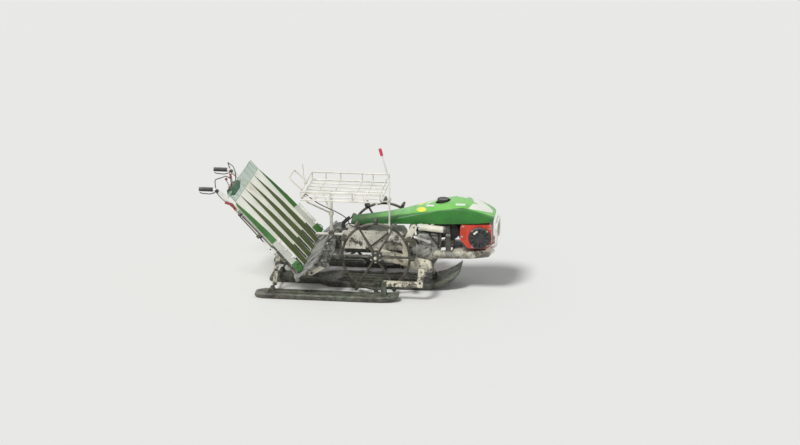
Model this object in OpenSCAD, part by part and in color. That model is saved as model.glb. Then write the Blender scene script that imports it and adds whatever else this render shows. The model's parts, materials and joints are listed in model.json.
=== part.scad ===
// Walk-behind rice transplanter: four planting arms under a sloping five-lane seedling tray,
// two lugged wheels on lifting arms, three floats, a small engine under a narrow bonnet.
// X points forward, Y to the left, Z up. The floats' soles and the lowest lugs stand at z = 0.

/* [Overall] */
// Length from the handle grips to the front guard
overall_len = 2480; // [2460:10:2540]

/* [Wheels and lift] */
// Radius at the tips of the lugs
wheel_r = 330; // [315:1:334]
// Distance between the two wheels' middle planes
wheel_track = 600; // [592:2:612]
// Number of lugs on one wheel
lug_count = 12; // [8:2:16]
// Width of a lug across the wheel
lug_w = 108; // [80:2:112]
// Height of a lug along the radius
lug_h = 56; // [48:1:64]
// Thickness of a lug
lug_t = 16; // [10:1:22]
// Radius of the rim's tube
rim_tube_r = 11; // [8:0.5:13]
// Number of spokes
spoke_count = 6; // [4:1:8]
// Radius of the wheel's hub
hub_r = 34; // [28:1:40]
// Radius of the axle stub
axle_r = 14; // [10:1:18]
// Length of a swing case between its pivot and the wheel's axle
swing_len = 420; // [412:2:430]
// Thickness of a swing case
swing_t = 40; // [30:1:42]
// Height of the swing cases' pivot
pivot_z = 235; // [225:1:245]
// Radius of the pivot journal inside a swing case
journal_r = 25; // [20:1:28]
// Thickness of a lift arm's plate
arm_t = 10; // [6:1:12]
// Radius of a lift cylinder's barrel
barrel_r = 27; // [22:1:28]
// Length of a lift cylinder's barrel
barrel_len = 222; // [212:1:228]
// Radius of a lift cylinder's rod
rod_r = 9; // [6:0.5:12]

/* [Floats] */
// Thickness of a float
float_t = 46; // [36:1:52]
// Half width of the middle float under the machine
mid_float_half = 170; // [150:1:174]
// Distance of a side float's middle line from the machine's middle plane
side_float_y = 450; // [446:1:460]
// Half width of a side float
side_float_half = 75; // [60:1:78]

/* [Seedling tray] */
// Width of one lane of the tray
lane_w = 200; // [190:2:210]
// Number of lanes
lane_count = 5; // [5:1:5]
// Length of the tray along its slope
tray_len = 800; // [760:10:820]
// Slope of the tray
tray_tilt = 47.7; // [46:0.1:49]
// Thickness of the tray's floor
floor_t = 8; // [5:1:10]
// Height of a fence above the tray's floor
fence_h = 46; // [36:1:60]
// Depth of the outer fences below the tray's floor
skirt_h = 28; // [20:1:50]
// Thickness of a fence
fence_t = 6; // [4:1:8]
// Fine ribs on the floor of one lane
ribs_per_lane = 6; // [3:1:8]
// Length of the net behind the tray's top edge
net_len = 100; // [60:5:110]

/* [Planting] */
// Distance of a planting case from the machine's middle plane
case_y = 300; // [296:1:304]
// Distance of a planting arm from its case
arm_offset = 100; // [98:1:104]
// Radius of the cranks that swing the planting arms
crank_r = 24; // [18:1:26]
// Width of a planting case
case_w = 50; // [40:1:56]
// Width of a planting arm
arm_w = 32; // [24:1:34]
// Width of a slot for a claw in the guide rail
slot_w = 52; // [48:1:60]

/* [Frame] */
// Distance of a front beam from the machine's middle plane
beam_y = 150; // [148:1:152]
// Width of a front beam
beam_w = 36; // [28:1:38]
// Height of a front beam
beam_h = 62; // [50:1:66]
// Radius of the tow hole in the front plate
tow_r = 9; // [6:0.5:14]
// Radius of the bolt holes in the front plate
bolt_r = 5.5; // [4:0.5:7]
// Distance between the bolt holes across the front plate
bolt_span_y = 180; // [150:5:200]
// Distance between the bolt holes up the front plate
bolt_span_z = 40; // [30:2:44]
// Half width of the gearbox
gearbox_half = 105; // [90:1:110]

/* [Bonnet] */
// Thickness of the bonnet's shell
shell_t = 4; // [3:0.5:6]
// Radius of the hole round the tank's neck
neck_hole_r = 64; // [62:1:70]
// Radius of the tank's cap
cap_r = 48; // [40:1:52]

/* [Handles and rack] */
// Distance of a handlebar from the machine's middle plane
handle_y = 300; // [290:2:310]
// Diameter of a handlebar
handle_d = 26; // [22:1:30]
// Height of the handle grips
grip_z = 862; // [850:1:880]
// Height of the rack's platform
rack_z = 800; // [790:1:820]
// Height of the rack's top rail above its platform
rack_h = 70; // [50:1:90]
// Half width of the rack
rack_half = 300; // [260:5:320]
// Diameter of the rack's rails
rail_d = 14; // [10:1:16]
// Height of the top of the sighting pole
pole_top = 1235; // [1180:5:1280]

/* [Hidden] */
$fn = 64;

cream = "#ddd8bc";
pale = "#ecebe2";
casting = "#8f918c";
dark = "#2b2e30";
leaf_green = "#6cb85a";
deep_green = "#2f6b3a";
orange = "#e4552a";
mud = "#5c5f55";
steel = "#b9bcbb";

run_gap = 0.3;
seat_gap = 0.3;
free_gap = 5;
front_x = overall_len / 2;
wire_r = rail_d * 0.35;
rear_x = -overall_len / 2;

// Points in the side view are written [forward, up]
pivot = [650, pivot_z];
axle = [pivot[0] - sqrt(pow(swing_len, 2) - pow(wheel_r - pivot_z, 2)), wheel_r];
boss_r = 40;
axle_end_r = 12;
swing_end_r = 38;
wheel_y = wheel_track / 2;
swing_in = wheel_y - 114;
swing_out = swing_in + swing_t;
arm_out = swing_out + arm_t;
hub_in = arm_out + 1;
hub_out = wheel_y + 34;
lug_root_r = wheel_r - lug_h;
rim_r = lug_root_r + rim_tube_r - 2;
eye_r = 20;
eye_pin_r = 10;
cylinder_y = swing_in + 11;
cylinder_front = [829, 551];
arm_top = [550, 574];
arm_h = 52;
// Middle line of a lift arm from the rod's eye round to the pivot
arm_curve = [arm_top, [506, 492], [484, 428], [478, 372], [496, 314], [540, 264], [594, 240], pivot];

// The lane floor's lower front corner; the tray runs up and back from it
tray_foot = [-354, 230];
tray_half = lane_w * lane_count / 2;
floor_start = 16;
rail_half = tray_half + 58;
rail_t = 20;
rail_reach = 188;
// Distances up the slope of the members that carry the tray
cross_rows = [-620, -150];
runner_t = 6;
rail_back = 30;
slot_back = 24;

beam_center = [-150, 378];
beam_r = 26;
crank_center = [-178, 290];
crank_pin = crank_center + crank_r * [cos(45), -sin(45)];
case_top_r = 42;
case_low_r = 40;
sleeve_r = 24;
sleeve_end = 60;
disc_r = 38;
disc_in = sleeve_end + 3;
disc_out = disc_in + 12;
crank_pin_r = 9;
arm_in = arm_offset - arm_w / 2;
arm_far = arm_offset + arm_w / 2;

spine_z = 296;
spine_r = 32;
gearbox_rear = 556;
rear_case_low = spine_z + spine_r;
rear_case_high = rear_case_low + 158;
rear_case_half = 105;
rack_rear = -386;
rack_front = 275;
float_pivot = [-612, 68];
float_shaft_r = 9;
outrigger_r = 22;
outrigger_bar = [[640, 287], [626, 150], [326, 150]];

// What stands ahead of the gearbox follows the machine's length
gearbox_front = 746;
pulley = [690, 430];
seat_rise = 4;
// A round cover on each side of the gearbox, and the bosses of its bolts
cover_center = [622, 340];
cover_r = 50;
belt_out = 148;
pulley_r = 56;
cover_bolts = [for (a = [30 : 60 : 330]) cover_center + (cover_r - 2) * [cos(a), sin(a)]];
design_front = 1240;
function fore(x) = x < gearbox_front ? x
    : gearbox_front + (x - gearbox_front) * (front_x - gearbox_front) / (design_front - gearbox_front);
function fore_outline(p) = [for (q = p) [fore(q[0]), q[1]]];
// What stands at the handles follows it too
design_rear = -1240;
handle_turn_x = -900;
function aft(x) = x > handle_turn_x ? x
    : handle_turn_x + (x - handle_turn_x) * (rear_x - handle_turn_x) / (design_rear - handle_turn_x);
starter = [fore(1096), 496];
neck_x = fore(770);
plate_x = fore(1160);

cross_bar = [aft(-1010), 787];
handle_path = [[-190, 236], [-300, 168], [-430, 163], [-623, 392], [aft(-937), 716]];
member_h = 38;
member_half = 14;
gearbox_shape = [[604, 196], [gearbox_rear, 262], [gearbox_rear, 452], [586, 480], [722, 480],
    [746, 456], [746, 300], [704, 200]];
beam_path = [pivot, [738, 321], [fore(1020), 330], [fore(1150), 348], [fore(1196), 392]];
plate_center = 344;
stay_t = 10;

function unit(v) = v / norm(v);
function left_of(v) = [-v[1], v[0]];
function step(p, i) = unit(p[min(i + 1, len(p) - 1)] - p[min(i, len(p) - 2)]);
function side_point(p, i, h) =
    let (a = left_of(step(p, max(i - 1, 0))), b = i == 0 ? a : left_of(step(p, i)),
         m = unit(a + b))
    p[i] + m * h / (m * a);
// Outline of a strip of one width along a bent line
function ribbon(p, w) = concat(
    [for (i = [0 : len(p) - 1]) side_point(p, i, w / 2)],
    [for (i = [len(p) - 1 : -1 : 0]) side_point(p, i, -w / 2)]);
// A side-view outline raised between two distances from the middle plane
module slab(y0, y1) translate([0, y1, 0]) rotate([90, 0, 0]) linear_extrude(y1 - y0) children();
module pin_y(p, r, y0, y1) translate([p[0], y0, p[1]]) rotate([-90, 0, 0]) cylinder(h = y1 - y0, r = r);
module rod(a, b, r) {
    v = b - a;
    translate(a) rotate([0, acos(v[2] / norm(v)), atan2(v[1], v[0])]) cylinder(h = norm(v), r = r);
}
module box(x, y, z) translate([x[0], y[0], z[0]]) cube([x[1] - x[0], y[1] - y[0], z[1] - z[0]]);
module both() {
    children();
    mirror([0, 1, 0]) children();
}
// Two round ends joined by a waist a little narrower than they are
module link2d(p, rp, q, rq) {
    n = left_of(unit(q - p)) * 0.97;
    polygon([p + n * rp, p - n * rp, q - n * rq, q + n * rq]);
    translate(p) circle(rp);
    translate(q) circle(rq);
}
// A closed skin through rings of equal point counts
module loft(rings) {
    n = len(rings[0]);
    m = len(rings);
    polyhedron(
        points = [for (r = rings) each r],
        faces = concat(
            [[for (i = [0 : n - 1]) i]],
            [for (j = [0 : m - 2]) for (i = [0 : n - 1])
                let (k = (i + 1) % n, a = j * n + i, b = j * n + k, c = a + n, d = b + n)
                each [[a, c, b], [b, c, d]]],
            [[for (i = [n - 1 : -1 : 0]) (m - 1) * n + i]]));
}
// A bent tube: corners of the route are rounded, then a ring of points stands at each point
function bend(p, i, r, steps) =
    let (a = unit(p[i - 1] - p[i]), b = unit(p[i + 1] - p[i]), half = acos(a * b) / 2,
         t = r / tan(half), c = p[i] + unit(a + b) * r / sin(half), u = p[i] + a * t - c,
         w = unit(cross(cross(u, p[i] + b * t - c), u)) * r, turn = 180 - 2 * half)
    [for (k = [0 : steps]) c + u * cos(turn * k / steps) + w * sin(turn * k / steps)];
function rounded(p, r, steps) = concat([p[0]],
    [for (i = [1 : len(p) - 2]) each bend(p, i, r, steps)], [p[len(p) - 1]]);
function tangents(p) = [for (i = [0 : len(p) - 1])
    unit(p[min(i + 1, len(p) - 1)] - p[max(i - 1, 0)])];
function carried(t, i, v) = i == 0 ? v : let (w = carried(t, i - 1, v)) unit(w - t[i] * (w * t[i]));
module tube(p, d, sides = 10) {
    t = tangents(p);
    guess = abs(t[0][2]) > 0.9 ? [1, 0, 0] : [0, 0, 1];
    v0 = unit(guess - t[0] * (guess * t[0]));
    loft([for (i = [0 : len(p) - 1])
        let (v = carried(t, i, v0), w = cross(t[i], v))
        [for (k = [0 : sides - 1])
            p[i] + d / 2 * (v * cos(360 * k / sides) + w * sin(360 * k / sides))]]);
}

module front_frame() {
    y0 = beam_y - beam_w / 2;
    y1 = beam_y + beam_w / 2;
    color(cream) {
        both() {
            difference() {
                union() {
                    slab(y0, y1) polygon(ribbon(beam_path, beam_h));
                    pin_y(pivot, boss_r + 18, y0, y1);
                    slab(y1 - stay_t, y1) polygon([[808, 330], [856, 330], [844, 578], [814, 578]]);
                    pin_y(cylinder_front, eye_pin_r, y1 - 2, cylinder_y + 18);
                }
                pin_y(pivot, boss_r + seat_gap, y0 - 1, y1 + 1);
            }
        }
        difference() {
            union() {
                box([plate_x, plate_x + 10], [-y0 - 1, y0 + 1], [310, 390]);
                box([fore(862), plate_x + 1], [-y0 - 1, y0 + 1], [354, 362]);
            }
            translate([plate_x - 1, 0, plate_center]) rotate([0, 90, 0]) cylinder(h = 12, r = tow_r);
            for (y = [-1, 1], z = [-1, 1])
                translate([plate_x - 1, y * bolt_span_y / 2, plate_center + z * bolt_span_z / 2])
                    rotate([0, 90, 0]) cylinder(h = 12, r = bolt_r);
        }
    }
}

module front_guard() {
    d = 24;
    half = beam_y;
    n = len(beam_path);
    run = unit(beam_path[n - 1] - beam_path[n - 2]);
    foot = beam_path[n - 1] + run * seat_gap;
    knee = foot + run * (front_x - d / 2 - foot[0]) / run[0];
    top = 585;
    color(pale) tube(rounded([
        [foot[0], -half, foot[1]], [knee[0], -half, knee[1]], [knee[0], -half, top],
        [knee[0], half, top], [knee[0], half, knee[1]], [foot[0], half, foot[1]]], 30, 5), d, 12);
}

function grown(p, c, d) = [for (q = p) q + unit(q - c) * d];
module gearbox() color(casting) difference() {
    union() {
        slab(-gearbox_half, gearbox_half) polygon(gearbox_shape);
        slab(-7, 7) polygon(grown(gearbox_shape, [650, 340], 9));
        pin_y(pulley, 34, gearbox_half - 1, gearbox_half + seat_rise);
        both() {
            pin_y(cover_center, cover_r, gearbox_half - 1, gearbox_half + 8);
            pin_y(cover_center, cover_r * 0.4, gearbox_half, gearbox_half + 16);
            for (a = [0 : 60 : 300]) slab(gearbox_half, gearbox_half + 13)
                translate(cover_center) rotate(a) translate([cover_r * 0.3, -3]) square([cover_r * 0.62, 6]);
            for (q = cover_bolts) pin_y(q, 9, gearbox_half - 1, gearbox_half + 6);
            pin_y(pivot, boss_r, gearbox_half - 1, swing_in - 1);
            pin_y(pivot, journal_r, swing_in - 2, arm_out + 5);
        }
    }
    rod([gearbox_rear - 20, 0, spine_z], [gearbox_rear, 0, spine_z], spine_r + 14);
}

module rear_case() {
    low = rear_case_low;
    high = rear_case_high;
    x0 = -74;
    x1 = 459;
    half = rear_case_half;
    rib_step = 16;
    color(cream) difference() {
        slab(-half, half) polygon([[x0, low], [x1 - 12, low], [x1, low + 14], [x1, high - 40],
            [x1 - 30, high], [x0 + 16, high], [x0, high - 20]]);
        for (s = [-1, 1]) {
            box([98, 101], [s * half - 3, s * half + 3], [low - 1, high + 1]);
            for (i = [0 : 4])
                box([x0 + 18 + i * rib_step, x0 + 26 + i * rib_step], [s * half - 5, s * half + 5],
                    [low + 20, high - 26]);
        }
    }
}

module planting_beam() color(casting) {
    y1 = case_y - case_w / 2;
    union() {
        rod([gearbox_rear, 0, spine_z], [-100, 0, spine_z], spine_r);
        pin_y(beam_center, beam_r, -y1, y1);
        slab(-44, 44) polygon([[-84, spine_z - 40], [-84, spine_z + 36], [-112, 396],
            [-150, 402], [-186, 388], [-186, 340], [-150, spine_z - 40]]);
        both() pin_y(beam_center, beam_r + 10, y1 - 10, y1);
        translate([520, 0, spine_z]) rotate([0, 90, 0]) cylinder(h = 35, r = spine_r + 12);
    }
}

module planting_cases() color(casting) both() translate([0, case_y, 0]) {
    w = case_w / 2;
    difference() {
        union() {
            slab(-w, w) link2d(beam_center, case_top_r, crank_center, case_low_r);
            slab(-5, 5) link2d(beam_center, case_top_r + 7, crank_center, case_low_r + 7);
            pin_y(crank_center, sleeve_r, -sleeve_end, sleeve_end);
            pin_y(beam_center, 8, w - 1, arm_far + 12);
            slab(arm_far + 4, arm_far + 12) link2d(beam_center, 15, [-214, 306], 11);
            slab(-arm_far - 12, -arm_far - 4) link2d(beam_center, beam_r + 8, [-214, 306], 11);
        }
        pin_y(beam_center, beam_r + seat_gap, -arm_far - 13, -w - 2);
        pin_y(crank_center, 11 + run_gap, -sleeve_end - 1, sleeve_end + 1);
    }
}

module planting_cranks() color(steel) both() translate([0, case_y, 0]) {
    pin_y(crank_center, 11, -disc_out, disc_out);
    for (s = [0, 1]) mirror([0, s, 0]) {
        pin_y(crank_center, disc_r, disc_in, disc_out);
        pin_y(crank_pin, crank_pin_r, disc_out - 2, arm_far + 2);
    }
}

module planting_arms() {
    elbow = [-238, 292];
    tip = [-290, 252];
    for (s = [-1, 1], t = [-1, 1]) translate([0, s * case_y + t * arm_offset, 0]) {
        color(casting) difference() {
            union() {
                slab(-arm_w / 2, arm_w / 2) link2d(crank_pin, 24, elbow, 14);
                slab(-6, 6) polygon(ribbon([elbow, [-270, 284], tip], 14));
            }
            pin_y(crank_pin, crank_pin_r + run_gap, -arm_w, arm_w);
            slab(-3, 3) polygon([[-272, 240], [-272, 271], [-300, 262], [-310, 240]]);
        }
    }
}

module in_tray() translate([tray_foot[0], 0, tray_foot[1]]) rotate([0, tray_tilt, 0]) children();

module guide_rail() color(steel) difference() {
    in_tray() difference() {
        union() {
            box([-rail_t / 2, rail_t / 2], [-rail_half, rail_half], [-rail_back, rail_reach]);
            box([-rail_t / 2 - 22, 0], [-rail_half, rail_half], [-rail_back, -rail_back + 9]);
            both() slab(handle_y - member_half + 2, handle_y + member_half - 2)
                polygon([[0, -16], [rail_t / 2 - 2, 14], [rail_t / 2 + 10, 10], [60, -40], [56, -80],
                    [-6, -80], [-10, -26]]);
        }
        for (s = [-1, 1], t = [-1, 1])
            box([-rail_t, rail_t], [s * case_y + t * arm_offset - slot_w / 2,
                s * case_y + t * arm_offset + slot_w / 2], [slot_back, rail_reach + 1]);
    }
    both() slab(handle_y - member_half - 1, handle_y + member_half + 1)
        polygon(ribbon(handle_path, member_h + 2 * seat_gap));
}

module tray_floor() color(pale) in_tray() union() {
    box([-tray_len, -floor_start], [-tray_half, tray_half], [-floor_t, 0]);
    for (lane = [0 : lane_count - 1], k = [0 : ribs_per_lane - 1]) {
        y = -tray_half + lane * lane_w + (k + 0.5) * lane_w / ribs_per_lane;
        box([-tray_len + 12, -floor_start - 6], [y - 2, y + 2], [-1, 2.5]);
    }
    for (x = cross_rows)
        box([x - 16, x + 16], [-tray_half + 20, tray_half - 20], [-floor_t - runner_t, -floor_t + 1]);
}

module tray_fences() {
    top = [[-tray_len, seat_gap], [-tray_len + 150, fence_h * 0.4], [-tray_len + 340, fence_h * 0.75],
        [-180, fence_h], [-floor_start, fence_h * 0.85]];
    fin = concat(top, [[-floor_start, seat_gap]]);
    skirt = concat(top, [[-floor_start, -14], [-42, -14], [-74, -skirt_h], [-tray_len + 160, -skirt_h],
        [-tray_len + 30, -14]]);
    color(deep_green) in_tray() {
        for (i = [1 : lane_count - 1]) {
            y = -tray_half + i * lane_w;
            slab(y - fence_t / 2, y + fence_t / 2) polygon(fin);
        }
        both() slab(tray_half + seat_gap, tray_half + seat_gap + fence_t) polygon(skirt);
    }
}

module tray_net() {
    cell = 25;
    wire = 4;
    cols = round(2 * tray_half / cell);
    rows = round(net_len / cell);
    dx = net_len / rows;
    dy = 2 * tray_half / cols;
    color("#96c8aa") in_tray() translate([-tray_len - net_len, -tray_half, -5])
        linear_extrude(4) difference() {
            square([net_len - seat_gap, 2 * tray_half]);
            for (i = [0 : rows - 1], j = [0 : cols - 1])
                translate([i * dx + wire / 2, j * dy + wire / 2]) square([dx - wire, dy - wire]);
        }
}

module handle_frame() {
    w = member_half;
    color(cream) difference() {
        union() {
            both() slab(handle_y - w, handle_y + w) polygon(ribbon(handle_path, member_h));
            in_tray() for (x = cross_rows) {
                box([x - 12, x + 12], [-handle_y - 90, handle_y + 90], [-58, -floor_t - runner_t - seat_gap]);
                for (t = [-1, 1])
                    box([x - 12, x + 12], [t * handle_y - w, t * handle_y + w], [-100, -50]);
            }
            both() slab(handle_y + w - 1, handle_y + w + 8)
                polygon(ribbon([[-572, 336], [-602, 180], float_pivot], 34));
            both() pin_y(float_pivot, 20, handle_y + w - 1, handle_y + w + 8);
        }
        both() pin_y(crank_center, case_low_r + 7 + seat_gap, case_y - 40, case_y + 40);
        both() pin_y(float_pivot, float_shaft_r + seat_gap, handle_y, handle_y + 40);
    }
}

module float_shaft() color(steel) pin_y(float_pivot, float_shaft_r, -side_float_y - 30, side_float_y + 30);

// Rings of a float, from rear to nose: [x, sole height, half width share, thickness share]
function float_rings(rows, y, half) = [for (r = rows)
    let (h = half * r[2], t = float_t * r[3], e = min(10, t / 3), z = r[1])
    [[r[0], y - h + e, z], [r[0], y + h - e, z], [r[0], y + h, z + e], [r[0], y + h, z + t - e],
     [r[0], y + h - e, z + t], [r[0], y - h + e, z + t], [r[0], y - h, z + t - e], [r[0], y - h, z + e]]];
side_rows = [[-750, 14, 0.7, 0.5], [-720, 4, 0.9, 0.8], [-680, 0, 1, 1], [-300, 0, 1, 1], [180, 0, 1, 1],
    [300, 2, 0.96, 1], [380, 12, 0.86, 0.95], [430, 28, 0.66, 0.7], [450, 40, 0.4, 0.4]];
mid_rows = [[-700, 10, 0.5, 0.5], [-670, 2, 0.56, 0.9], [-620, 0, 0.58, 1], [-260, 0, 0.58, 1],
    [-180, 0, 0.95, 1], [-120, 0, 1, 1], [560, 0, 1, 1], [680, 10, 1, 1], [790, 42, 0.97, 1],
    [870, 92, 0.9, 0.95], [915, 140, 0.8, 0.8], [930, 172, 0.66, 0.5]];

ear_r = 19;
ear_half = 34;
module ears(ys, z0) for (y = ys) slab(y - 5, y + 5) difference() {
    union() {
        translate(float_pivot) circle(ear_r);
        polygon([float_pivot - [ear_r, 0], float_pivot + [ear_r, 0],
            [float_pivot[0] + ear_half, z0], [float_pivot[0] - ear_half, z0]]);
    }
    translate(float_pivot) circle(float_shaft_r + seat_gap);
}

module middle_float() color(mud) {
    loft(float_rings(mid_rows, 0, mid_float_half));
    ears([-60, 60], float_t - 1);
    slab(-8, 8) difference() {
        polygon(ribbon([[706, 40], [700, 100]], 40));
        translate([700, 112]) circle(14);
    }
}

module side_floats() color(mud) both() {
    loft(float_rings(side_rows, side_float_y, side_float_half));
    ears([side_float_y - 24, side_float_y + 24], float_t - 1);
    for (t = [-1, 1]) slab(side_float_y + t * 20 - 4, side_float_y + t * 20 + 4)
        polygon([[300, float_t - 2], [352, float_t - 4], [340, 172], [314, 172]]);
}

module outriggers() color(cream) {
    both() difference() {
        union() {
            pin_y(pivot, outrigger_r, arm_out + 5, side_float_y - 5);
            slab(side_float_y - 6, side_float_y + 6) polygon(ribbon(outrigger_bar, 48));
            pin_y([328, 150], 9, side_float_y - 15, side_float_y + 15);
        }
    }
    difference() {
        slab(-6, 6) link2d([672, 184], 12, [700, 112], 13);
        slab(-8, 8) polygon(grown(gearbox_shape, [650, 340], 9 + seat_gap));
    }
}

module engine() color(casting) {
    fins = 7;
    union() {
        slab(-118, gearbox_half) polygon(fore_outline([[968, 362 + seat_gap], [1140, 362 + seat_gap],
            [1154, 392], [1186, 430], [1186, 560], [1130, 596], [992, 596], [968, 560]]));
        for (i = [0 : fins - 1]) slab(-6, 96) translate([fore(906 + i * 9), 418]) square([4, 146]);
        slab(6, 84) polygon(fore_outline([[900, 434], [970, 434], [970, 548], [900, 548]]));
        pin_y(starter, 20, gearbox_half - 1, gearbox_half + seat_rise);
    }
}

module fan_housing() color(orange) difference() {
    slits = 6;
    union() {
        slab(-196, -118) polygon(fore_outline([[996, 400], [1150, 400], [1190, 438], [1190, 584],
            [1172, 600], [946, 600], [932, 584], [932, 476]]));
        slab(-204, -195) translate(starter) circle(97);
    }
    for (i = [0 : slits - 1]) box([fore(944), fore(982)], [-206, -190], [474 + i * 18, 482 + i * 18]);
}

module recoil_cover() color(dark) difference() {
    translate([starter[0], -204, starter[1]]) rotate([90, 0, 0]) rotate_extrude()
        polygon([[0, 0], [94, 0], [94, 12], [84, 22], [40, 24], [36, 30], [0, 30]]);
    for (a = [0 : 30 : 330]) translate([starter[0], -235, starter[1]]) rotate([0, a, 0])
        box([48, 78], [0, 18], [-5, 5]);
}

module recoil_grip() color(pale) translate([starter[0], 0, starter[1]]) {
    rod([-46, -250, 44], [-16, -250, 70], 8);
    rod([-30, -250, 57], [-30, -227 - seat_gap, 57], 5);
}

module muffler() color(dark) {
    c = [fore(852), 520];
    pin_y(c, 66, -146, -14);
    pin_y(c, 70, -140, -132);
    pin_y(c, 70, -28, -20);
    rod([c[0], -60, c[1]], [fore(968) - seat_gap, -60, c[1]], 14);
}

module air_cleaner() color(dark) {
    slab(2, 96) polygon(fore_outline([[874, 564 + seat_gap], [958, 564 + seat_gap], [958, 596], [946, 606],
        [886, 606], [874, 594]]));
}

module belt_cover() color(dark) slab(gearbox_half + seat_rise, belt_out)
    difference() {
        link2d(pulley, pulley_r, starter, pulley_r);
        translate(pulley) circle(axle_r);
    }

module fuel_tank() color(dark) union() {
    slab(-108, 108) polygon(fore_outline([[646, 604], [868, 612], [880, 630], [876, 664], [862, 676],
        [652, 656], [640, 644], [640, 612]]));
    translate([neck_x, 0, 650]) cylinder(h = 84, r = 36);
}

module fuel_cap() color(dark) translate([neck_x, 0, 734 + seat_gap]) {
    cylinder(h = 10, r = cap_r - 6);
    translate([0, 0, 9]) difference() {
        cylinder(h = 22, r = cap_r);
        for (a = [0 : 20 : 340]) rotate(a) translate([cap_r, 0, -1]) cylinder(h = 24, r = 3);
    }
}

hinge = [56, 536];
module cover_stays() color(dark) {
    pin_y(hinge, 6, -96, 96);
    both() {
        slab(74, 82) polygon([[70, rear_case_high], [150, rear_case_high], [110, 530], [64, 548],
            [46, 546], [44, 530]]);
        for (x = [655, 712])
            rod([x, 70, 480], [x, 70, 604 + (x - 646) * 8 / 222 - 2 * seat_gap], 7);
    }
}

// The bonnet's sections: [x, half width, lower edge, crease, crown]
bonnet_profile = [
    [4, 96, 541, 556, 572],
    [150, 108, 551, 574, 594],
    [300, 122, 562, 592, 618],
    [450, 138, 572, 616, 652],
    [610, 156, 583, 652, 702],
    [740, 172, 592, 684, 738],
    [870, 186, 601, 704, 762],
    [980, 192, 609, 700, 750],
    [1080, 188, 614, 684, 720],
    [1150, 176, 618, 662, 684],
    [1186, 156, 621, 648, 664],
    [1204, 130, 624, 641, 653]];
bonnet_rows = [for (r = bonnet_profile) [fore(r[0]), r[1], r[2], r[3], r[4]]];
function crown(t, p) = sign(t) * pow(abs(t), p);
// Height of the shell's underside over a point near the tail
function under_shell(x, y) =
    let (k = (x - bonnet_rows[0][0]) / (bonnet_rows[1][0] - bonnet_rows[0][0]),
         r = bonnet_rows[0] * (1 - k) + bonnet_rows[1] * k, h = (r[1] - shell_t) * 0.985,
         c = r[3] - shell_t * 0.3, u = r[4] - shell_t - c, q = pow(abs(y) / h, 1 / 0.72))
    c + u * pow(sqrt(1 - q * q), 0.8);
function bonnet_ring(r, d) = let (h = r[1] - d, c = r[3] - d * 0.3, u = r[4] - d - c)
    concat([[r[0], h, r[2] - (d > 0 ? 9 : 0)]],
        [for (a = [0 : 15 : 180]) [r[0], h * crown(cos(a), 0.72) * 0.985, c + u * crown(sin(a), 0.8)]],
        [[r[0], -h, r[2] - (d > 0 ? 9 : 0)]]);
module bonnet() color(leaf_green) difference() {
    loft([for (r = bonnet_rows) bonnet_ring(r, 0)]);
    loft([for (i = [0 : len(bonnet_rows) - 1]) let (r = bonnet_rows[i], n = len(bonnet_rows) - 1)
        bonnet_ring([r[0] + (i == 0 ? shell_t : i == n ? -shell_t : 0), r[1], r[2], r[3], r[4]], shell_t)]);
    translate([neck_x, 0, 700]) cylinder(h = 80, r = neck_hole_r);
}

module bonnet_hinge() color(dark) both() difference() {
    union() {
        pin_y(hinge, 12, 56, 70);
        slab(56, 70) polygon([[46, 540], [66, 540],
            [72, under_shell(72, 70) - 1], [40, under_shell(40, 70) - 1]]);
    }
    pin_y(hinge, 6 + run_gap, 50, 80);
}

module swing_case(s) color(cream) mirror([0, s < 0 ? 1 : 0, 0]) {
    v = unit(axle - pivot);
    difference() {
        union() {
            slab(swing_in, swing_out) link2d(pivot, 48, axle, swing_end_r);
            slab(swing_in + 15, swing_out - 15) link2d(pivot, 54, axle, swing_end_r + 6);
            slab(swing_out - 1, arm_out) {
                polygon(ribbon(arm_curve, arm_h));
                translate(arm_top) circle(25);
                translate(pivot) circle(40);
            }
            pin_y(axle, axle_r, swing_out - 1, hub_out + 2);
            pin_y(axle, axle_end_r, hub_out + 1, hub_out + 20);
            pin_y(axle, 22, swing_out - 1, hub_in - 0.5);
        }
        pin_y(pivot, journal_r + run_gap, swing_in - 1, arm_out + 1);
        pin_y(arm_top, 8, swing_out - 2, arm_out + 1);
    }
}

module lift_cylinder(s) color(cream) mirror([0, s < 0 ? 1 : 0, 0]) {
    a = [cylinder_front[0], cylinder_y, cylinder_front[1]];
    d = unit([arm_top[0], cylinder_y, arm_top[1]] - a);
    difference() {
        union() {
            rod(a + d * 12, a + d * (barrel_len + 12), barrel_r);
            rod(a + d * 16, a + d * 36, barrel_r + 2);
            rod(a + d * (barrel_len - 12), a + d * (barrel_len + 12), barrel_r + 2);
            pin_y(cylinder_front, eye_r, cylinder_y - 12, cylinder_y + 12);
        }
        pin_y(cylinder_front, eye_pin_r + run_gap, cylinder_y - 40, cylinder_y + 40);
        rod(a + d * 30, a + d * (barrel_len + 20), rod_r + 0.5);
    }
}

module lift_rod(s) color(steel) mirror([0, s < 0 ? 1 : 0, 0]) {
    a = [cylinder_front[0], cylinder_y, cylinder_front[1]];
    b = [arm_top[0], cylinder_y, arm_top[1]];
    d = unit(b - a);
    difference() {
        union() {
            rod(a + d * 34, b, rod_r);
            pin_y(arm_top, 18, cylinder_y - 10, swing_out - 2);
        }
        pin_y(arm_top, 8 + run_gap, cylinder_y - 20, swing_out + 1);
    }
}

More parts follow.
